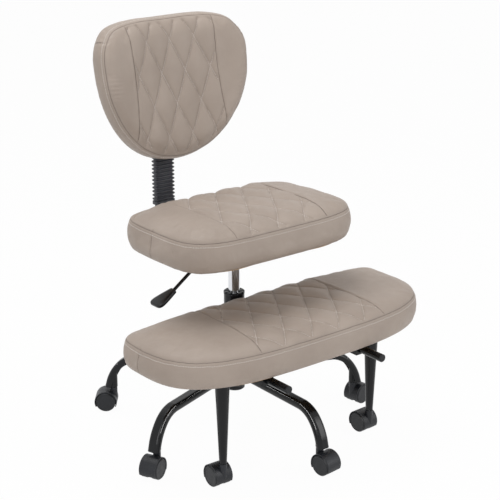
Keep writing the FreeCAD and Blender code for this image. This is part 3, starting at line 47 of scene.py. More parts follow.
# Camera at the photograph's viewing angle, in a 500 by 500 frame
look_az, look_el, roll = math.radians(-38.407), math.radians(18.956), math.radians(-0.15)
focal, distance = 1403.98, 3.3579
away = Vector(
    (math.sin(look_az) * math.cos(look_el), -math.cos(look_az) * math.cos(look_el), math.sin(look_el))
)
side = Vector((math.cos(look_az), math.sin(look_az), 0))
upward = away.cross(side).normalized()
aim = side * 0.038639 + Vector((0, 0, 0.45512))
camera_data = bpy.data.cameras.new("camera")
camera_data.sensor_width = 36
camera_data.lens = focal / 500 * 36
camera_data.clip_start, camera_data.clip_end = 0.1, 60
camera = bpy.data.objects.new("camera", camera_data)
scene.collection.objects.link(camera)
turned_side = side * math.cos(roll) + upward * math.sin(roll)
turned_up = upward * math.cos(roll) - side * math.sin(roll)
camera.matrix_world = Matrix(
    (
        (turned_side.x, turned_up.x, away.x, aim.x + away.x * distance),
        (turned_side.y, turned_up.y, away.y, aim.y + away.y * distance),
        (turned_side.z, turned_up.z, away.z, aim.z + away.z * distance),
        (0, 0, 0, 1),
    )
)
scene.camera = camera


# Materials
def linear(r, g, b):
    made = []
    for c in (r, g, b):
        c = c / 255
        made.append(c / 12.92 if c <= 0.04045 else ((c + 0.055) / 1.055) ** 2.4)
    return made


class Paint:
    """A node material with the object's own coordinates as its source of patterns."""

    def __init__(self, name, rough, metallic=0.0, specular=0.5):
        self.made = bpy.data.materials.new(name)
        self.made.use_nodes = True
        self.tree = self.made.node_tree
        self.shader = self.tree.nodes["Principled BSDF"]
        self.shader.inputs["Metallic"].default_value = metallic
        self.shader.inputs["Roughness"].default_value = rough
        self.shader.inputs["Specular IOR Level"].default_value = specular
        self.where = self.tree.nodes.new("ShaderNodeTexCoord").outputs["Object"]

    def add(self, kind, **inputs):
        node = self.tree.nodes.new(kind)
        for key, value in inputs.items():
            socket = node.inputs[key.replace("_", " ")]
            if isinstance(value, bpy.types.NodeSocket):
                self.tree.links.new(value, socket)
            else:
                socket.default_value = value
        return node

    def noise(self, scale, detail=3.0, stretch=None, rough=0.5):
        place = self.where
        if stretch:
            mapping = self.add("ShaderNodeMapping", Vector=place, Scale=stretch)
            place = mapping.outputs["Vector"]
        node = self.add("ShaderNodeTexNoise", Vector=place, Scale=scale, Detail=detail, Roughness=rough)
        return node.outputs["Fac"]

    def cells(self, scale):
        node = self.tree.nodes.new("ShaderNodeTexVoronoi")
        node.feature = "DISTANCE_TO_EDGE"
        self.tree.links.new(self.where, node.inputs["Vector"])
        node.inputs["Scale"].default_value = scale
        return node.outputs["Distance"]

    def span(self, source, low, high, start=0.3, end=0.7):
        node = self.add("ShaderNodeMapRange", Value=source)
        node.inputs["From Min"].default_value = start
        node.inputs["From Max"].default_value = end
        node.inputs["To Min"].default_value = low
        node.inputs["To Max"].default_value = high
        return node.outputs["Result"]

    def two(self, factor, first, second):
        node = self.tree.nodes.new("ShaderNodeMix")
        node.data_type = "RGBA"
        self.tree.links.new(factor, node.inputs["Factor"])
        node.inputs["A"].default_value = (*first, 1)
        node.inputs["B"].default_value = (*second, 1)
        return node.outputs["Result"]

    def colour(self, source):
        self.tree.links.new(source, self.shader.inputs["Base Color"])

    def rough(self, source):
        self.tree.links.new(source, self.shader.inputs["Roughness"])

    def bump(self, *layers):
        normal = None
        for source, height in layers:
            node = self.add("ShaderNodeBump", Height=source, Distance=height)
            node.inputs["Strength"].default_value = 1.0
            if normal is not None:
                self.tree.links.new(normal, node.inputs["Normal"])
            normal = node.outputs["Normal"]
        self.tree.links.new(normal, self.shader.inputs["Normal"])


def leather():
    p = Paint("leather", 0.5, specular=0.4)
    wide = p.span(p.noise(9, 4), 0.0, 1.0, 0.3, 0.7)
    p.colour(p.two(wide, linear(161, 147, 136), linear(172, 158, 147)))
    p.rough(p.span(p.noise(60, 3), 0.42, 0.56))
    grain = p.span(p.cells(620), 0.0, 1.0, 0.0, 0.22)
    p.bump((grain, 0.00012), (p.noise(190, 4), 0.00022), (p.noise(38, 2), 0.0005))
    return p.made


def thread(name, colour_a, colour_b):
    p = Paint(name, 0.62, specular=0.35)
    twist = p.span(p.noise(900, 2), 0.0, 1.0)
    p.colour(p.two(twist, colour_a, colour_b))
    p.bump((p.noise(1400, 2), 0.0002))
    return p.made


def powder_coat():
    p = Paint("powder_coat", 0.22, specular=0.3)
    p.colour(p.two(p.span(p.noise(30, 3), 0, 1), linear(7, 8, 11), linear(12, 13, 17)))
    p.rough(p.span(p.noise(45, 3), 0.17, 0.27))
    p.bump((p.noise(300, 2), 0.00003))
    return p.made


def moulded(name, dark, pale, low, high, grain):
    p = Paint(name, low, specular=0.36)
    p.colour(p.two(p.span(p.noise(22, 4), 0, 1), dark, pale))
    p.rough(p.span(p.noise(90, 3), low, high))
    p.bump((p.noise(1300, 2), grain), (p.noise(160, 2), grain * 0.8))
    return p.made


def polished():
    p = Paint("polished_chrome", 0.09, metallic=1.0)
    p.colour(p.two(p.span(p.noise(14, 2), 0, 1), linear(214, 216, 219), linear(228, 229, 232)))
    p.rough(p.span(p.noise(30, 4, (1, 1, 0.06)), 0.05, 0.13))
    return p.made


def plated():
    p = Paint("plated_steel", 0.32, metallic=1.0)
    p.colour(p.two(p.span(p.noise(60, 4), 0, 1), linear(150, 152, 156), linear(186, 187, 190)))
    p.rough(p.span(p.noise(140, 3), 0.24, 0.42))
    p.bump((p.noise(800, 3), 0.00005))
    return p.made


def plywood():
    p = Paint("plywood", 0.7, specular=0.25)
    lines = p.noise(7, 6, (1, 14, 60), 0.6)
    p.colour(p.two(p.span(lines, 0, 1, 0.35, 0.65), linear(156, 120, 82), linear(205, 174, 130)))
    p.rough(p.span(p.noise(50, 3), 0.6, 0.8))
    p.bump((p.noise(260, 3, (1, 10, 30)), 0.0003))
    return p.made


hide = leather()
pale_thread = thread("pale_thread", linear(206, 198, 192), linear(228, 221, 215))
# dark thread of the band's side stitches; the same colour paints the shade in the seam grooves
dark_thread_and_seam_shade = thread("dark_thread_and_seam_shade", linear(92, 83, 77), linear(112, 102, 95))
finishes = {
    "upholstery": hide,
    "black_steel": powder_coat(),
    "black_plastic": moulded("black_plastic", linear(15, 16, 19), linear(23, 24, 28), 0.3, 0.42, 0.00004),
    "caster_plastic": moulded(
        "caster_plastic", linear(27, 29, 33), linear(37, 39, 44), 0.36, 0.48, 0.00005
    ),
    "caster_tread": moulded("caster_tread", linear(22, 24, 27), linear(33, 35, 40), 0.33, 0.46, 0.00005),
    "chrome": polished(),
    "bare_steel": plated(),
    "plywood": plywood(),
}
for part in frame["record"]["subparts"]:
    node = frame["nodes"][part["node"]]
    node.data.materials.clear()
    node.data.materials.append(finishes[part["material_slot"]])
sleeve_plastic = moulded("sleeve_plastic", linear(52, 53, 58), linear(64, 65, 71), 0.28, 0.4, 0.00003)


# Sizes of threads and of the dark lines painted as shade in the seams, in millimetres, and a millimetre in
# metres
stitch_pitch, stitch_length, stitch_width = 5.2, 3.1, 1.7
seam_shade_step, seam_shade_width, seam_shade_sink = 4.0, 1.2, 0.1
full_turn = 6.283
mm = 0.001


# Helpers for meshes
def mesh_object(name, points, faces, material, smooth=True):
    data = bpy.data.meshes.new(name)
    data.from_pydata([tuple(p) for p in points], [], faces)
    data.update()
    if smooth:
        data.polygons.foreach_set("use_smooth", [True] * len(data.polygons))
    data.materials.append(material)
    made = bpy.data.objects.new(name, data)
    scene.collection.objects.link(made)
    return made


def coordinates(data):
    co = np.zeros(len(data.vertices) * 3)
    data.vertices.foreach_get("co", co)
    return co.reshape(-1, 3)


def set_coordinates(data, co):
    data.vertices.foreach_set("co", co.astype(np.float32).ravel())
    data.update()


def normals(data):
    out = np.zeros(len(data.vertices) * 3)
    data.vertices.foreach_get("normal", out)
    return out.reshape(-1, 3)


def baked(made):
    """The mesh with its modifiers applied."""
    graph = bpy.context.evaluated_depsgraph_get()
    fresh = bpy.data.meshes.new_from_object(made.evaluated_get(graph))
    made.modifiers.clear()
    old = made.data
    made.data = fresh
    bpy.data.meshes.remove(old)
    return made


def smoothstep(x, low, high):
    t = np.clip((x - low) / (high - low), 0, 1)
    return t * t * (3 - 2 * t)


def bell(x, width):
    return np.exp(-((x / width) ** 2))


def rings_to_mesh(name, rings, material):
    """A closed skin through rings of equal count, closed at both ends by a fan."""
    count = len(rings[0])
    points = [p for ring in rings for p in ring]
    faces = []
    for r in range(len(rings) - 1):
        for i in range(count):
            j = (i + 1) % count
            faces.append((r * count + i, r * count + j, (r + 1) * count + j, (r + 1) * count + i))
    for r, order in ((0, -1), (len(rings) - 1, 1)):
        centre = np.mean(rings[r], axis=0)
        points.append(centre)
        middle = len(points) - 1
        for i in range(count):
            j = (i + 1) % count
            tri = (r * count + i, r * count + j, middle)
            faces.append(tri if order > 0 else tri[::-1])
    return mesh_object(name, points, faces, material)


def edge_distance(points, outline):
    """Distance of flat points to a closed outline, positive inside it."""
    best = np.full(len(points), 1e9)
    inside = np.zeros(len(points), bool)
    for i in range(len(outline)):
        a, b = outline[i - 1], outline[i]
        ab = b - a
        t = np.clip(((points - a) @ ab) / max(ab @ ab, 1e-12), 0, 1)
        near = a + t[:, None] * ab
        best = np.minimum(best, np.hypot(*(points - near).T))
        crosses = (a[1] > points[:, 1]) != (b[1] > points[:, 1])
        with np.errstate(divide="ignore", invalid="ignore"):
            at = a[0] + (points[:, 1] - a[1]) / (b[1] - a[1]) * ab[0]
        inside ^= crosses & (points[:, 0] < at)
    return np.where(inside, best, -best)


def remesh(made, size):
    modifier = made.modifiers.new("remesh", "REMESH")
    modifier.mode = "VOXEL"
    modifier.voxel_size = size
    modifier.use_smooth_shade = True
    return baked(made)


def inflate(made, full, cap, firm):
    """Rounds the cover by air pressure: firm points stay, moves stay below cap, the size stays full."""
    rest = coordinates(made.data)
    group = made.vertex_groups.new(name="firm")
    group.add([int(i) for i in np.nonzero(firm)[0]], 1.0, "REPLACE")
    modifier = made.modifiers.new("cover", "CLOTH")
    cover = modifier.settings
    cover.use_pressure = True
    cover.uniform_pressure_force = 4.0
    cover.effector_weights.gravity = 0
    cover.quality = 4
    cover.mass = 0.25
    cover.tension_stiffness = 12
    cover.compression_stiffness = 12
    cover.shear_stiffness = 6
    cover.bending_stiffness = 0.4
    cover.vertex_group_mass = "firm"
    modifier.collision_settings.use_collision = False
    modifier.collision_settings.use_self_collision = False
    modifier.point_cache.frame_start = 1
    modifier.point_cache.frame_end = 20
    for step in range(1, modifier.point_cache.frame_end + 1):
        scene.frame_set(step)
    baked(made)
    scene.frame_set(1)
    now = coordinates(made.data)
    move = now - rest
    size = np.linalg.norm(move, axis=1)
    limited = cap * np.tanh(size / cap)
    move *= (limited / np.maximum(size, 1e-9))[:, None]
    set_coordinates(made.data, rest + move)
    made.vertex_groups.clear()
    facing = normals(made.data)
    lack = np.mean(((full - rest - move) * facing).sum(1)[~firm])
    set_coordinates(made.data, rest + move + facing * (np.where(firm, 0, lack))[:, None])


def store(made, name, values):
    attribute = made.data.attributes.new(name, "FLOAT_VECTOR", "POINT")
    attribute.data.foreach_set("vector", values.astype(np.float32).ravel())


def stored(made, name):
    out = np.zeros(len(made.data.vertices) * 3, np.float32)
    made.data.attributes[name].data.foreach_get("vector", out)
    return out.reshape(-1, 3).astype(float)


def divided(made):
    modifier = made.modifiers.new("finer", "SUBSURF")
    modifier.levels = modifier.render_levels = 1
    return baked(made)


def diamonds(a, b, pitch_a, pitch_b, node):
    """Distance to the nearest stitched line of both families, and how far up its diamond a point is."""
    lean = math.atan2(pitch_b, pitch_a)
    low = np.full(a.shape, 1e9)
    rise = np.ones(a.shape)
    for family in (1, -1):
        t = (a - family * (b - node) * pitch_a / pitch_b) / pitch_a
        off = np.abs(t - np.round(t))
        low = np.minimum(low, off * pitch_a * math.sin(lean))
        rise = rise * np.sin(math.pi * off)
    return low, rise


class Surface:
    """Finds the finished place and normal for a point given on the plain form."""

    def __init__(self, made, plain):
        self.final = coordinates(made.data) * 1000
        self.normal = normals(made.data)
        self.faces = [tuple(p.vertices) for p in made.data.polygons]
        self.tree = BVHTree.FromPolygons([tuple(p) for p in plain], self.faces)
        self.plain = plain

    def at(self, point):
        near, _, index, _ = self.tree.find_nearest(Vector(point))
        corners = list(self.faces[index])
        gaps = np.linalg.norm(self.plain[corners] - np.array(near), axis=1)
        weights = 1 / np.maximum(gaps, 1e-6)
        weights /= weights.sum()
        place = (self.final[corners] * weights[:, None]).sum(0)
        up = (self.normal[corners] * weights[:, None]).sum(0)
        return place, up / np.linalg.norm(up)


def along(points, pitch):
    """Points at equal steps along a polyline."""
    points = np.array(points, float)
    steps = np.linalg.norm(np.diff(points, axis=0), axis=1)
    total = np.concatenate(([0], np.cumsum(steps)))
    marks = np.arange(0, total[-1], pitch)
    return np.stack([np.interp(marks, total, points[:, k]) for k in range(3)], axis=1)


def stitch_row(lines, surface, sink, points, faces):
    """Short threads along lines of the plain form, laid on the finished skin."""
    profile = [(-0.5, 0.45, -0.5), (-0.3, 1.0, 0.2), (0.3, 1.0, 0.2), (0.5, 0.45, -0.5)]
    for line in lines:
        placed = [surface.at(p) for p in along(line, stitch_pitch / 2)]
        for i in range(1, len(placed) - 1, 2):
            middle, up = placed[i]
            ahead = placed[i + 1][0] - placed[i - 1][0]
            size = np.linalg.norm(ahead)
            if size < 0.01:
                continue
            ahead = ahead / size
            across = np.cross(up, ahead)
            across /= np.linalg.norm(across)
            up = np.cross(ahead, across)
            first = len(points)
            for along_by, wide, lift in profile:
                raised = lift * stitch_width * 0.5 - sink
                centre = middle + ahead * (along_by * stitch_length) + up * raised
                for k in range(6):
                    turn = 2 * math.pi * k / 6
                    points.append(
                        centre
                        + across * (math.cos(turn) * stitch_width * 0.5 * wide)
                        + up * (math.sin(turn) * stitch_width * 0.4 * wide)
                    )
            for ring in range(3):
                for k in range(6):
                    j = (k + 1) % 6
                    a = first + ring * 6
                    faces.append((a + k, a + j, a + 6 + j, a + 6 + k))
            faces.append(tuple(first + k for k in range(5, -1, -1)))
            faces.append(tuple(first + 18 + k for k in range(6)))


def painted_seam_shade_line(lines, surface, points, faces):
    """A thin continuous dark line in the bottom of a seam: painted shade of the seam's groove."""
    for line in lines:
        placed = [surface.at(p) for p in along(line, seam_shade_step)]
        first = len(points)
        for i, (middle, up) in enumerate(placed):
            ahead = placed[min(i + 1, len(placed) - 1)][0] - placed[max(i - 1, 0)][0]
            ahead = ahead / max(np.linalg.norm(ahead), 1e-9)
            across = np.cross(up, ahead)
            across /= max(np.linalg.norm(across), 1e-9)
            for k in range(5):
                turn = 2 * math.pi * k / 5
                points.append(
                    middle
                    + across * (math.cos(turn) * seam_shade_width * 0.5)
                    + up * (math.sin(turn) * seam_shade_width * 0.5 - seam_shade_sink)
                )
        for i in range(len(placed) - 1):
            for k in range(5):
                j = (k + 1) % 5
                a = first + i * 5
                faces.append((a + k, a + j, a + 5 + j, a + 5 + k))
        faces.append(tuple(first + k for k in range(4, -1, -1)))
        faces.append(tuple(first + (len(placed) - 1) * 5 + k for k in range(5)))


def add_threads(name, body, light, dark):
    """The pale stitches, and the darker side stitches and dark lines painted as seam shade, of one cushion.
    """
    for label, (points, faces), material in (
        ("_stitches", light, pale_thread),
        # darker threads: the side stitches and the lines painted as shade in the seams
        ("_dark_stitches_and_seam_shade", dark, dark_thread_and_seam_shade),
    ):
        threads = mesh_object(name + label, np.array(points) * mm, faces, material)
        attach(threads, body)


# Cushions of the seat and the footrest, worked out in millimetres
def soft_rectangle(half, front, rear, powers, mid, count=280):
    turn = np.linspace(0, 2 * math.pi, 6001)[:-1]
    c, s = np.cos(turn), np.sin(turn)
    power = np.where(s < 0, powers[0], powers[1])
    reach = np.where(s < 0, front, rear)
    x = half * np.sign(c) * np.abs(c) ** (2 / power)
    y = reach * np.sign(s) * np.abs(s) ** (2 / power)
    line = np.stack([np.append(x, x[0]), np.append(y, y[0])], axis=1)
    total = np.concatenate(([0], np.cumsum(np.hypot(*np.diff(line, axis=0).T))))
    marks = np.linspace(0, total[-1], count + 1)[:-1]
    return np.stack([np.interp(marks, total, line[:, k]) for k in (0, 1)], axis=1) - (0, mid)


def waves(a, b, size, seed):
    """A gentle unevenness of a cover, of about 1 at its highest."""
    out = np.zeros(a.shape)
    for k in range(5):
        turn = seed + k * 2.4
        across = (a * math.cos(turn) + b * math.sin(turn)) / size
        out += np.sin(across * (1 + 0.23 * k) * full_turn + seed * 3 + k)
    return out / 5


# How far the crown has risen at a depth inside the outline
crown_depths = (0, 1.5, 5, 10, 18, 30, 42, 72, 100)
crown_shares = (0, 0.14, 0.33, 0.47, 0.61, 0.73, 0.82, 0.95, 1)


def boxed_cushion(spec):
    """A cushion with an upright band, a stitched crown and a drawn-in lower edge."""
    half, front, rear, powers, mid = (spec[k] for k in ("half", "front", "rear", "powers", "mid"))
    rim, seam, crown = spec["rim"], spec["seam"], spec["crown"]
    band = seam - rim

    def panel_edge(y):
        return spec["panel"] + spec["bow"] * ((y + mid) / 150) ** 2

    rings = []
    for part, inset in (
        (0, 17), (0, 9), (0.05, 4.5), (0.12, 1.5), (0.22, -2), (0.35, -4), (0.5, -4.8), (0.65, -4.6),
        (0.78, -3.4), (0.9, -1.8), (1, 0.5),
    ):
        flat = soft_rectangle(half - inset, front - inset, rear - inset, powers, mid)
        rings.append(np.column_stack([flat, np.full(len(flat), rim + band * part)]))
    outline = soft_rectangle(half, front, rear, powers, mid)
    centre = np.array([0, -mid + (rear - front) / 2])
    for share in (0.012, 0.03, 0.055, 0.09, 0.14, 0.2, 0.28, 0.38, 0.5, 0.64, 0.8, 0.92):
        flat = rings[10][:, :2] * (1 - share) + centre * share
        deep = edge_distance(flat, outline)
        rings.append(np.column_stack([flat, seam + crown * np.interp(deep, crown_depths, crown_shares)]))
    made = rings_to_mesh(spec["name"], [ring * mm for ring in rings], hide)
    made = remesh(made, spec["voxel"])
    plain = coordinates(made.data) * 1000
    store(made, "plain", plain)
    firm = plain[:, 2] < rim + 2.5
    push = np.where(firm, 0.0, spec["start"])
    set_coordinates(made.data, (plain - normals(made.data) * push[:, None]) * mm)
    inflate(made, plain * mm, spec["cap"] * mm, firm)
    made = divided(made)

    plain = stored(made, "plain")
    x, y, z = plain.T
    place = coordinates(made.data) * 1000
    facing = normals(made.data)
    ring = z - seam
    top = smoothstep(ring, 1, 9)
    skin = smoothstep(z, rim + 6, rim + 16)
    # Seam around the crown and the topstitching below it
    move = -1.0 * bell(ring, 1.5) * skin
    move += -0.5 * bell(ring + 8.5, 1.4) * skin
    # Panel seams, then the puffed diamonds between them
    off = np.abs(x) - panel_edge(y)
    inside = smoothstep(-off, 0, 5)
    move += (-2.4 * bell(off, 1.9) + 0.6 * bell(np.abs(off) - 6, 4)) * top
    low, rise = diamonds(x, y, spec["pitch"][0], spec["pitch"][1], -spec["node"])
    move += (spec["puff"] * (rise**0.45 - 0.84) - 1.2 * bell(low, 1.2)) * inside * top
    # Lower rear corners, the band's own seams, a gentle unevenness and creases
    corner = smoothstep(np.abs(x), half * 0.4, half * 0.9) * smoothstep(y + mid, -rear * 0.1, rear * 0.85)
    move -= spec["fall"] * corner * top
    for sx in (-1, 1):
        beside = smoothstep(x * sx, half * 0.9, half * 0.97)
        move += -1.6 * bell(y + mid + spec["joint"], 1.8) * beside * skin * (1 - top)
        move += 0.5 * bell(np.abs(y + mid + spec["joint"]) - 6, 4) * beside * skin * (1 - top)
    move += 0.9 * waves(x, y, 150, spec["seed"]) * np.where(inside > 0, 0.5, 1) * skin
    move += 0.35 * waves(x, z * 2 + y, 60, spec["seed"] + 1) * skin * (1 - top)
    for cx, cy, reach, size, turn in spec["creases"]:
        across = (x - cx) * math.cos(turn) + (y - cy) * math.sin(turn)
        beside = (y - cy) * math.cos(turn) - (x - cx) * math.sin(turn)
        fold = np.sin(across / 8.5 * full_turn + beside / 40)
        move += size * fold * bell(across, reach) * bell(beside, 26) * skin
    place += facing * move[:, None]

    under = soft_rectangle(half - 17.6, front - 17.6, rear - 17.6, powers, mid)
    beneath = z < rim + 4
    deep = edge_distance(plain[beneath][:, :2], under)
    lifted = place[beneath]
    lifted[:, 2] = np.where(deep > 0, rim - 2 + 12.5, lifted[:, 2])
    place[beneath] = lifted
    set_coordinates(made.data, place * mm)
    made.data.polygons.foreach_set("use_smooth", [True] * len(made.data.polygons))

    skin_at = Surface(made, plain)
    edge = soft_rectangle(half - 0.5, front - 0.5, rear - 0.5, powers, mid, 500)
    edge = np.vstack([edge, edge[:1]])

    def at_level(level):
        return np.column_stack([edge, np.full(len(edge), level)])

    rows = [at_level(seam - 8.5)]
    quilted = []
    for family in (1, -1):
        for k in range(-14, 15):
            ys = np.linspace(-mid - front, -mid + rear, 200)
            xs = k * spec["pitch"][0] + family * (ys + spec["node"]) * spec["pitch"][0] / spec["pitch"][1]
            ok = np.abs(xs) < panel_edge(ys) - 2
            deep = edge_distance(np.column_stack([xs, ys]), outline)
            ok &= deep > 5
            if ok.sum() > 4:
                level = seam + crown * np.interp(deep, crown_depths, crown_shares)
                quilted.append(np.column_stack([xs, ys, level])[ok])
    panels = []
    for sx in (-1, 1):
        ys = np.linspace(-mid - front, -mid + rear, 260)
        xs = sx * panel_edge(ys)
        deep = edge_distance(np.column_stack([xs, ys]), outline)
        ok = deep > 1
        level = seam + crown * np.interp(deep, crown_depths, crown_shares)
        panels.append(np.column_stack([xs, ys, level])[ok])
    sides = []
    for sx in (-1, 1):
        zs = np.linspace(rim + 8, seam - 3, 60)
        sides.append(np.column_stack([np.full(60, sx * (half + 3)), np.full(60, -mid - spec["joint"]), zs]))
    light, dark = ([], []), ([], [])
    stitch_row(rows + quilted, skin_at, 0.0, *light)
    stitch_row(sides, skin_at, 0.1, *dark)
    # dark lines along the crown seam and the panel seams: painted shade in their grooves
    painted_seam_shade_line([at_level(seam)] + panels, skin_at, *dark)
    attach(made, spec["body"])
    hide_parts(spec["node_name"])
    add_threads(spec["name"], spec["body"], light, dark)


boxed_cushion(
    {
        "name": "seat_pad", "node_name": "seat_cushion", "body": "seat",
        "half": 249, "front": 175, "rear": 146, "powers": (4.8, 5.2), "mid": 17,
        "rim": 486, "seam": 558, "crown": 24, "fall": 9,
        "panel": 133, "bow": 0, "pitch": (79, 122), "node": 48.2, "puff": 8.0,
        "joint": 0, "seed": 1.3, "creases": [(-222, 48, 34, 0.55, 1.35)],
        "start": 2.5, "cap": 3.5, "voxel": 0.0045,
    }
)
boxed_cushion(
    {
        "name": "footrest_pad", "node_name": "footrest_cushion", "body": "footrest",
        "half": 378, "front": 211, "rear": 94, "powers": (3.2, 4.6), "mid": 134,
        "rim": 281, "seam": 346, "crown": 20, "fall": 4,
        "panel": 172, "bow": 6, "pitch": (79, 122), "node": 160.6, "puff": 7.0,
        "joint": 12, "seed": 2.1, "creases": [],
        "start": 2.5, "cap": 3.5, "voxel": 0.0048,
    }
)


# Cushion of the back, in millimetres across, through and up
back_tilt, back_y, back_z, hollow = math.radians(10.4), 245.5, 850.0, 588.0
shield_knots = (
    (0, 124, 1, 0), (128, 119.5, 0.985, -0.17), (181, 96, 0.66, -0.75), (205, 40, 0.03, -1),
    (188, -72, -0.38, -0.925), (121, -163, -0.79, -0.61), (0, -203, -1, 0),
)


def shield(inset, count=300):
    knots = []
    for x, v, hx, hv in shield_knots:
        size = math.hypot(hx, hv)
        hx, hv = hx / size, hv / size
        knots.append((np.array([x + hv * inset, v - hx * inset]), np.array([hx, hv])))
    for point, heading in reversed(knots[1:-1]):
        knots.append((point * (-1, 1), heading * (1, -1)))
    line = []
    for i, (a, ta) in enumerate(knots):
        b, tb = knots[(i + 1) % len(knots)]
        chord = np.linalg.norm(b - a)
        turn = math.acos(max(-1, min(1, float(ta @ tb)))) / 2
        reach = chord / (3 * math.cos(turn / 2) ** 2)
        for t in np.linspace(0, 1, 60, endpoint=False):
            line.append(
                a * (1 - t) ** 3 + (a + ta * reach) * 3 * t * (1 - t) ** 2
                + (b - tb * reach) * 3 * t * t * (1 - t) + b * t**3
            )
    line.append(line[0])
    line = np.array(line)[::-1]
    total = np.concatenate(([0], np.cumsum(np.hypot(*np.diff(line, axis=0).T))))
    marks = np.linspace(0, total[-1], count + 1)[:-1]
    return np.stack([np.interp(marks, total, line[:, k]) for k in (0, 1)], axis=1)


def on_back(points):
    """Places points given as across, through and up on the leaning, hollow back, in metres."""
    x, n, v = np.array(points, float).T
    through = np.sqrt((hollow + n) ** 2 - x**2) - hollow
    y = back_y + through * math.cos(back_tilt) + v * math.sin(back_tilt)
    z = back_z - through * math.sin(back_tilt) + v * math.cos(back_tilt)
    return np.column_stack([x, y, z]) * mm


# How far the front of the cushion stands out at a depth inside the outline
front_depths = (0, 2, 5, 8, 12, 16, 24, 38)
front_levels = (1, -2.5, -5.5, -8.2, -10.3, -11.8, -13, -14)

# The cover is a little larger than the foam
grown_from, grown_by = np.array([0, 0, -20]), np.array([1.012, 1, 1.04])


def back_panel_edge(v):
    """Half the width between the panel seams at a height on the back."""
    return 119 + 9 * ((v - 10) / 130) ** 2


def back_cushion():
    """The shield shaped cushion, hollow toward the sitter, with a full band."""
    rings = []
    for n, inset in (
        (50, 20), (50, 5), (49, 1), (46.5, -2.4), (42, -5), (34, -7.4), (24, -8.4), (14, -7.2), (6, -4),
        (0, -0.4), (-2.5, 1.6), (-5.5, 4.5), (-8.2, 7.8), (-10.3, 11.8), (-11.8, 16), (-13, 24), (-14, 38),
    ):
        flat = shield(inset)
        rings.append(np.column_stack([flat[:, 0], np.full(len(flat), n), flat[:, 1]]))
    centre = np.array([0, -14.6, -30])
    for share in (0.1, 0.22, 0.36, 0.52, 0.7, 0.86):
        rings.append(rings[16] * (1 - share) + centre * share)
    made = rings_to_mesh("backrest_pad", [ring * mm for ring in rings], hide)
    made = remesh(made, 0.0042)
    plain = coordinates(made.data) * 1000
    store(made, "plain", plain)
    set_coordinates(made.data, on_back((plain - grown_from) * grown_by + grown_from))
    rest = coordinates(made.data)
    firm = plain[:, 1] > 46
    push = np.where(firm, 0.0, 0.0025)
    set_coordinates(made.data, rest - normals(made.data) * push[:, None])
    inflate(made, rest, 0.0035, firm)
    made = divided(made)

    plain = stored(made, "plain")
    x, n, v = plain.T
    place = coordinates(made.data) * 1000
    facing = normals(made.data)
    front = smoothstep(-n, 1.5, 9)
    skin = smoothstep(-n, -44, -34)
    # Seam around the front and the topstitching behind it
    move = -1.0 * bell(n, 1.5) * skin
    move += -0.5 * bell(n - 8, 1.4) * skin
    # Panel seams, then the puffed diamonds between them
    off = np.abs(x) - back_panel_edge(v)
    inside = smoothstep(-off, 0, 5)
    move += (-2.4 * bell(off, 1.9) + 0.6 * bell(np.abs(off) - 6, 4)) * front
    low, rise = diamonds(x, v, 68, 150, 73)
    move += (8.5 * (rise**0.45 - 0.82) - 1.2 * bell(low, 1.2)) * inside * front
    for sx in (-1, 1):
        beside = smoothstep(x * sx, 150, 180)
        move += -0.9 * bell(v - 85, 1.6) * beside * skin * (1 - front)
        move += 0.5 * bell(np.abs(v - 85) - 6, 4) * beside * skin * (1 - front)
    move += 0.9 * waves(x, v, 120, 0.7) * np.where(inside > 0, 0.4, 1) * skin
    move += 0.35 * waves(n * 2 + x, v, 60, 2.2) * skin * (1 - front)
    for cx, cv, reach, size in ((-184, -22, 26, 0.75), (180, -60, 30, 0.35)):
        fold = np.sin((v - cv) / 9.5 * full_turn + (x - cx) / 30)
        move += size * fold * bell(v - cv, reach) * bell(x - cx, 17) * skin
    place += facing * move[:, None]
    set_coordinates(made.data, place * mm)
    made.data.polygons.foreach_set("use_smooth", [True] * len(made.data.polygons))

    skin_at = Surface(made, plain)

    def ring_at(level, inset):
        outline = shield(inset, 600)
        outline = np.vstack([outline, outline[:1]])
        return np.column_stack([outline[:, 0], np.full(len(outline), level), outline[:, 1]])

    quilted = []
    for family in (1, -1):
        for k in range(-14, 15):
            vs = np.linspace(-210, 130, 260)
            xs = k * 68 + family * (vs - 73) * 68 / 150
            deep = edge_distance(np.column_stack([xs, vs]), shield(0))
            ok = (np.abs(xs) < back_panel_edge(vs) - 2) & (deep > 5)
            if ok.sum() > 4:
                level = np.interp(deep, front_depths, front_levels)
                quilted.append(np.column_stack([xs, level, vs])[ok])
    panels = []
    for sx in (-1, 1):
        vs = np.linspace(-210, 130, 300)
        xs = sx * back_panel_edge(vs)
        deep = edge_distance(np.column_stack([xs, vs]), shield(0))
        level = np.interp(deep, front_depths, front_levels)
        panels.append(np.column_stack([xs, level, vs])[deep > 1])
    sides = []
    for sx in (-1, 1):
        ns = np.linspace(3, 44, 50)
        sides.append(np.column_stack([np.full(50, sx * 194.0), ns, np.full(50, 85.0)]))
    light, dark = ([], []), ([], [])
    stitch_row([ring_at(8, -5)] + quilted, skin_at, 0.0, *light)
    stitch_row(sides, skin_at, 0.1, *dark)
    # dark lines along the front seam and the panel seams: painted shade in their grooves
    painted_seam_shade_line([ring_at(0, -0.4)] + panels, skin_at, *dark)
    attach(made, "backrest")
    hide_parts("backrest_cushion")
    add_threads("backrest_pad", "backrest", light, dark)


back_cushion()


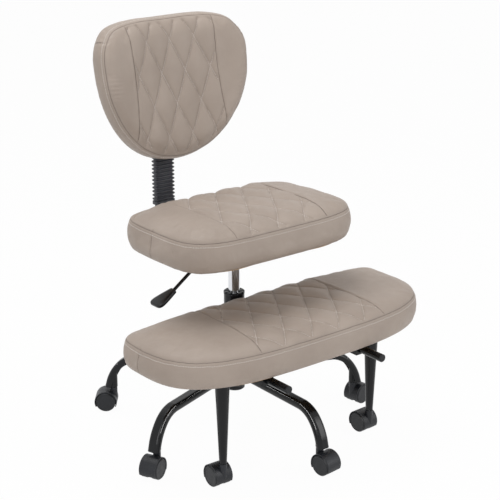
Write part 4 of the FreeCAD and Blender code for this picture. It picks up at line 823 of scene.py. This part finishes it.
# Ribbed sleeve on the back bar: rounded ribs with open grooves between them
def ribbed_sleeve():
    """Rings along the bar: upright, then round the bend, then up the lean."""
    start, bend_z, bend, bar_mid, pitch = 505.0, 640.0, 200.0, 288.5, 9.7
    curve = bend * back_tilt
    turns = np.linspace(0, 2 * math.pi, 64, endpoint=False)
    c, d = np.cos(turns), np.sin(turns)
    # Heights above the lower end, and how deep the skin lies there
    levels = [(0, 0.4), (0.4, 0), (8, 0), (8.6, 0.6), (8.8, 3.2)]
    rib = (
        (0.0, 4.6), (0.1, 4.2), (0.2, 1.6), (0.28, 0.5), (0.38, -0.2),
        (0.48, -0.3), (0.58, 0.3), (0.66, 1.4), (0.76, 4.2), (0.86, 4.6),
    )
    count = int((bend_z + curve + 10 - start) / pitch)
    for k in range(count):
        base = 9.6 + k * pitch
        levels += [(base + pitch * at, dip) for at, dip in rib]
    rings = []
    for rise, dip in levels:
        way = start + rise
        turn = min(max((way - bend_z) / bend, 0.0), back_tilt)
        rest = max(way - bend_z - curve, 0.0)
        middle = np.array([
            0,
            bar_mid + bend * (1 - math.cos(turn)) + rest * math.sin(turn),
            min(way, bend_z) + bend * math.sin(turn) + rest * math.cos(turn),
        ])
        across = np.sign(c) * np.abs(c) ** 0.4 * (29.0 - dip * 0.74)
        through = np.sign(d) * np.abs(d) ** 0.4 * (13.2 - dip)
        flat = np.outer(across, [1, 0, 0]) + np.outer(through, [0, math.cos(turn), -math.sin(turn)])
        rings.append((middle + flat) * mm)
    made = rings_to_mesh("ribbed_sleeve", rings, sleeve_plastic)
    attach(made, "bar")
    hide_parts("bar_bellows")


ribbed_sleeve()


# Grip of the height lever: a wedge that widens toward its rounded end
def lever_grip():
    way = np.array([-0.914, 0, -0.407]) / math.hypot(0.914, 0.407)
    up = np.array([way[2], 0, -way[0]])
    start = np.array([-186, -10, 398.5]) - way * 2
    turns = np.linspace(0, 2 * math.pi, 48, endpoint=False)
    rings = []
    c, d = np.cos(turns), np.sin(turns)
    for along_by, wide, thick in (
        (0, 7.6, 3.6), (0.6, 8.6, 4.6), (2, 9.2, 5.2), (8, 10.6, 5.7), (18, 13.6, 5.9), (30, 17.2, 5.9),
        (42, 20.2, 5.8), (50, 21.2, 5.6), (55, 20.6, 5.2), (58.5, 18.8, 4.6), (61, 15.8, 3.6),
        (62, 13, 2.4),
    ):
        across = np.sign(c) * np.abs(c) ** 0.45 * wide
        lift = np.sign(d) * np.abs(d) ** 0.45 * thick
        rings.append((start + way * along_by + np.outer(across, [0, 1, 0]) + np.outer(lift, up)) * mm)
    made = rings_to_mesh("lever_grip", rings, finishes["black_plastic"])
    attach(made, "lever")
    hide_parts("lever_paddle")


lever_grip()


# Studio: a pale floor, a white surround and soft lamps
def combined(tree, operation, first, second):
    node = tree.nodes.new("ShaderNodeMath")
    node.operation = operation
    tree.links.new(first, node.inputs[0])
    if isinstance(second, bpy.types.NodeSocket):
        tree.links.new(second, node.inputs[1])
    else:
        node.inputs[1].default_value = second
    return node.outputs[0]


def white_for_camera(tree, surface, glow_kind, share, output_node):
    """Shows a surface as white, by a share, where the camera, a gloss or a clear body looks at it."""
    path = tree.nodes.new("ShaderNodeLightPath").outputs
    seen = combined(tree, "MAXIMUM", path["Is Camera Ray"], path["Is Glossy Ray"])
    clear = combined(tree, "MAXIMUM", seen, path["Is Transmission Ray"])
    glow = tree.nodes.new(glow_kind)
    glow.inputs["Color"].default_value = (1, 1, 1, 1)
    glow.inputs["Strength"].default_value = 1
    mix = tree.nodes.new("ShaderNodeMixShader")
    tree.links.new(combined(tree, "MULTIPLY", clear, share), mix.inputs["Fac"])
    tree.links.new(surface, mix.inputs[1])
    tree.links.new(glow.outputs[0], mix.inputs[2])
    tree.links.new(mix.outputs[0], tree.nodes[output_node].inputs["Surface"])


world = bpy.data.worlds.new("surround")
scene.world = world
world.use_nodes = True
soft = world.node_tree.nodes["Background"]
soft.inputs["Color"].default_value = (1, 1, 1, 1)
soft.inputs["Strength"].default_value = 0.42
white_for_camera(world.node_tree, soft.outputs[0], "ShaderNodeBackground", 1.0, "World Output")

floor_paint = Paint("floor_paint", 0.9, specular=0.1)
patches = floor_paint.span(floor_paint.noise(2, 2), 0, 1)
floor_paint.colour(floor_paint.two(patches, (0.86, 0.86, 0.86), (0.88, 0.88, 0.88)))
white_for_camera(
    floor_paint.tree, floor_paint.shader.outputs[0], "ShaderNodeEmission", 0.97, "Material Output"
)
floor_half, floor_z = 9, -0.0005
floor_corners = [(x * floor_half, y * floor_half, floor_z) for x, y in ((-1, -1), (1, -1), (1, 1), (-1, 1))]
floor = mesh_object("floor", floor_corners, [(0, 1, 2, 3)], floor_paint.made, False)


def lamp(name, place, aim_at, size, power):
    data = bpy.data.lights.new(name, "AREA")
    data.shape = "RECTANGLE"
    data.size, data.size_y = size
    data.energy = power
    made = bpy.data.objects.new(name, data)
    scene.collection.objects.link(made)
    made.location = place
    made.rotation_euler = (Vector(aim_at) - Vector(place)).to_track_quat("-Z", "Y").to_euler()


lamp("overhead", (-0.3, 0.5, 3.0), (0, 0, 0.4), (1.8, 1.6), 36)
lamp("left_window", (-3.0, -2.0, 1.7), (0, 0, 0.5), (1.4, 2.4), 36)
lamp("right_window", (2.0, -2.8, 1.5), (0, 0, 0.4), (1.2, 2.2), 30)
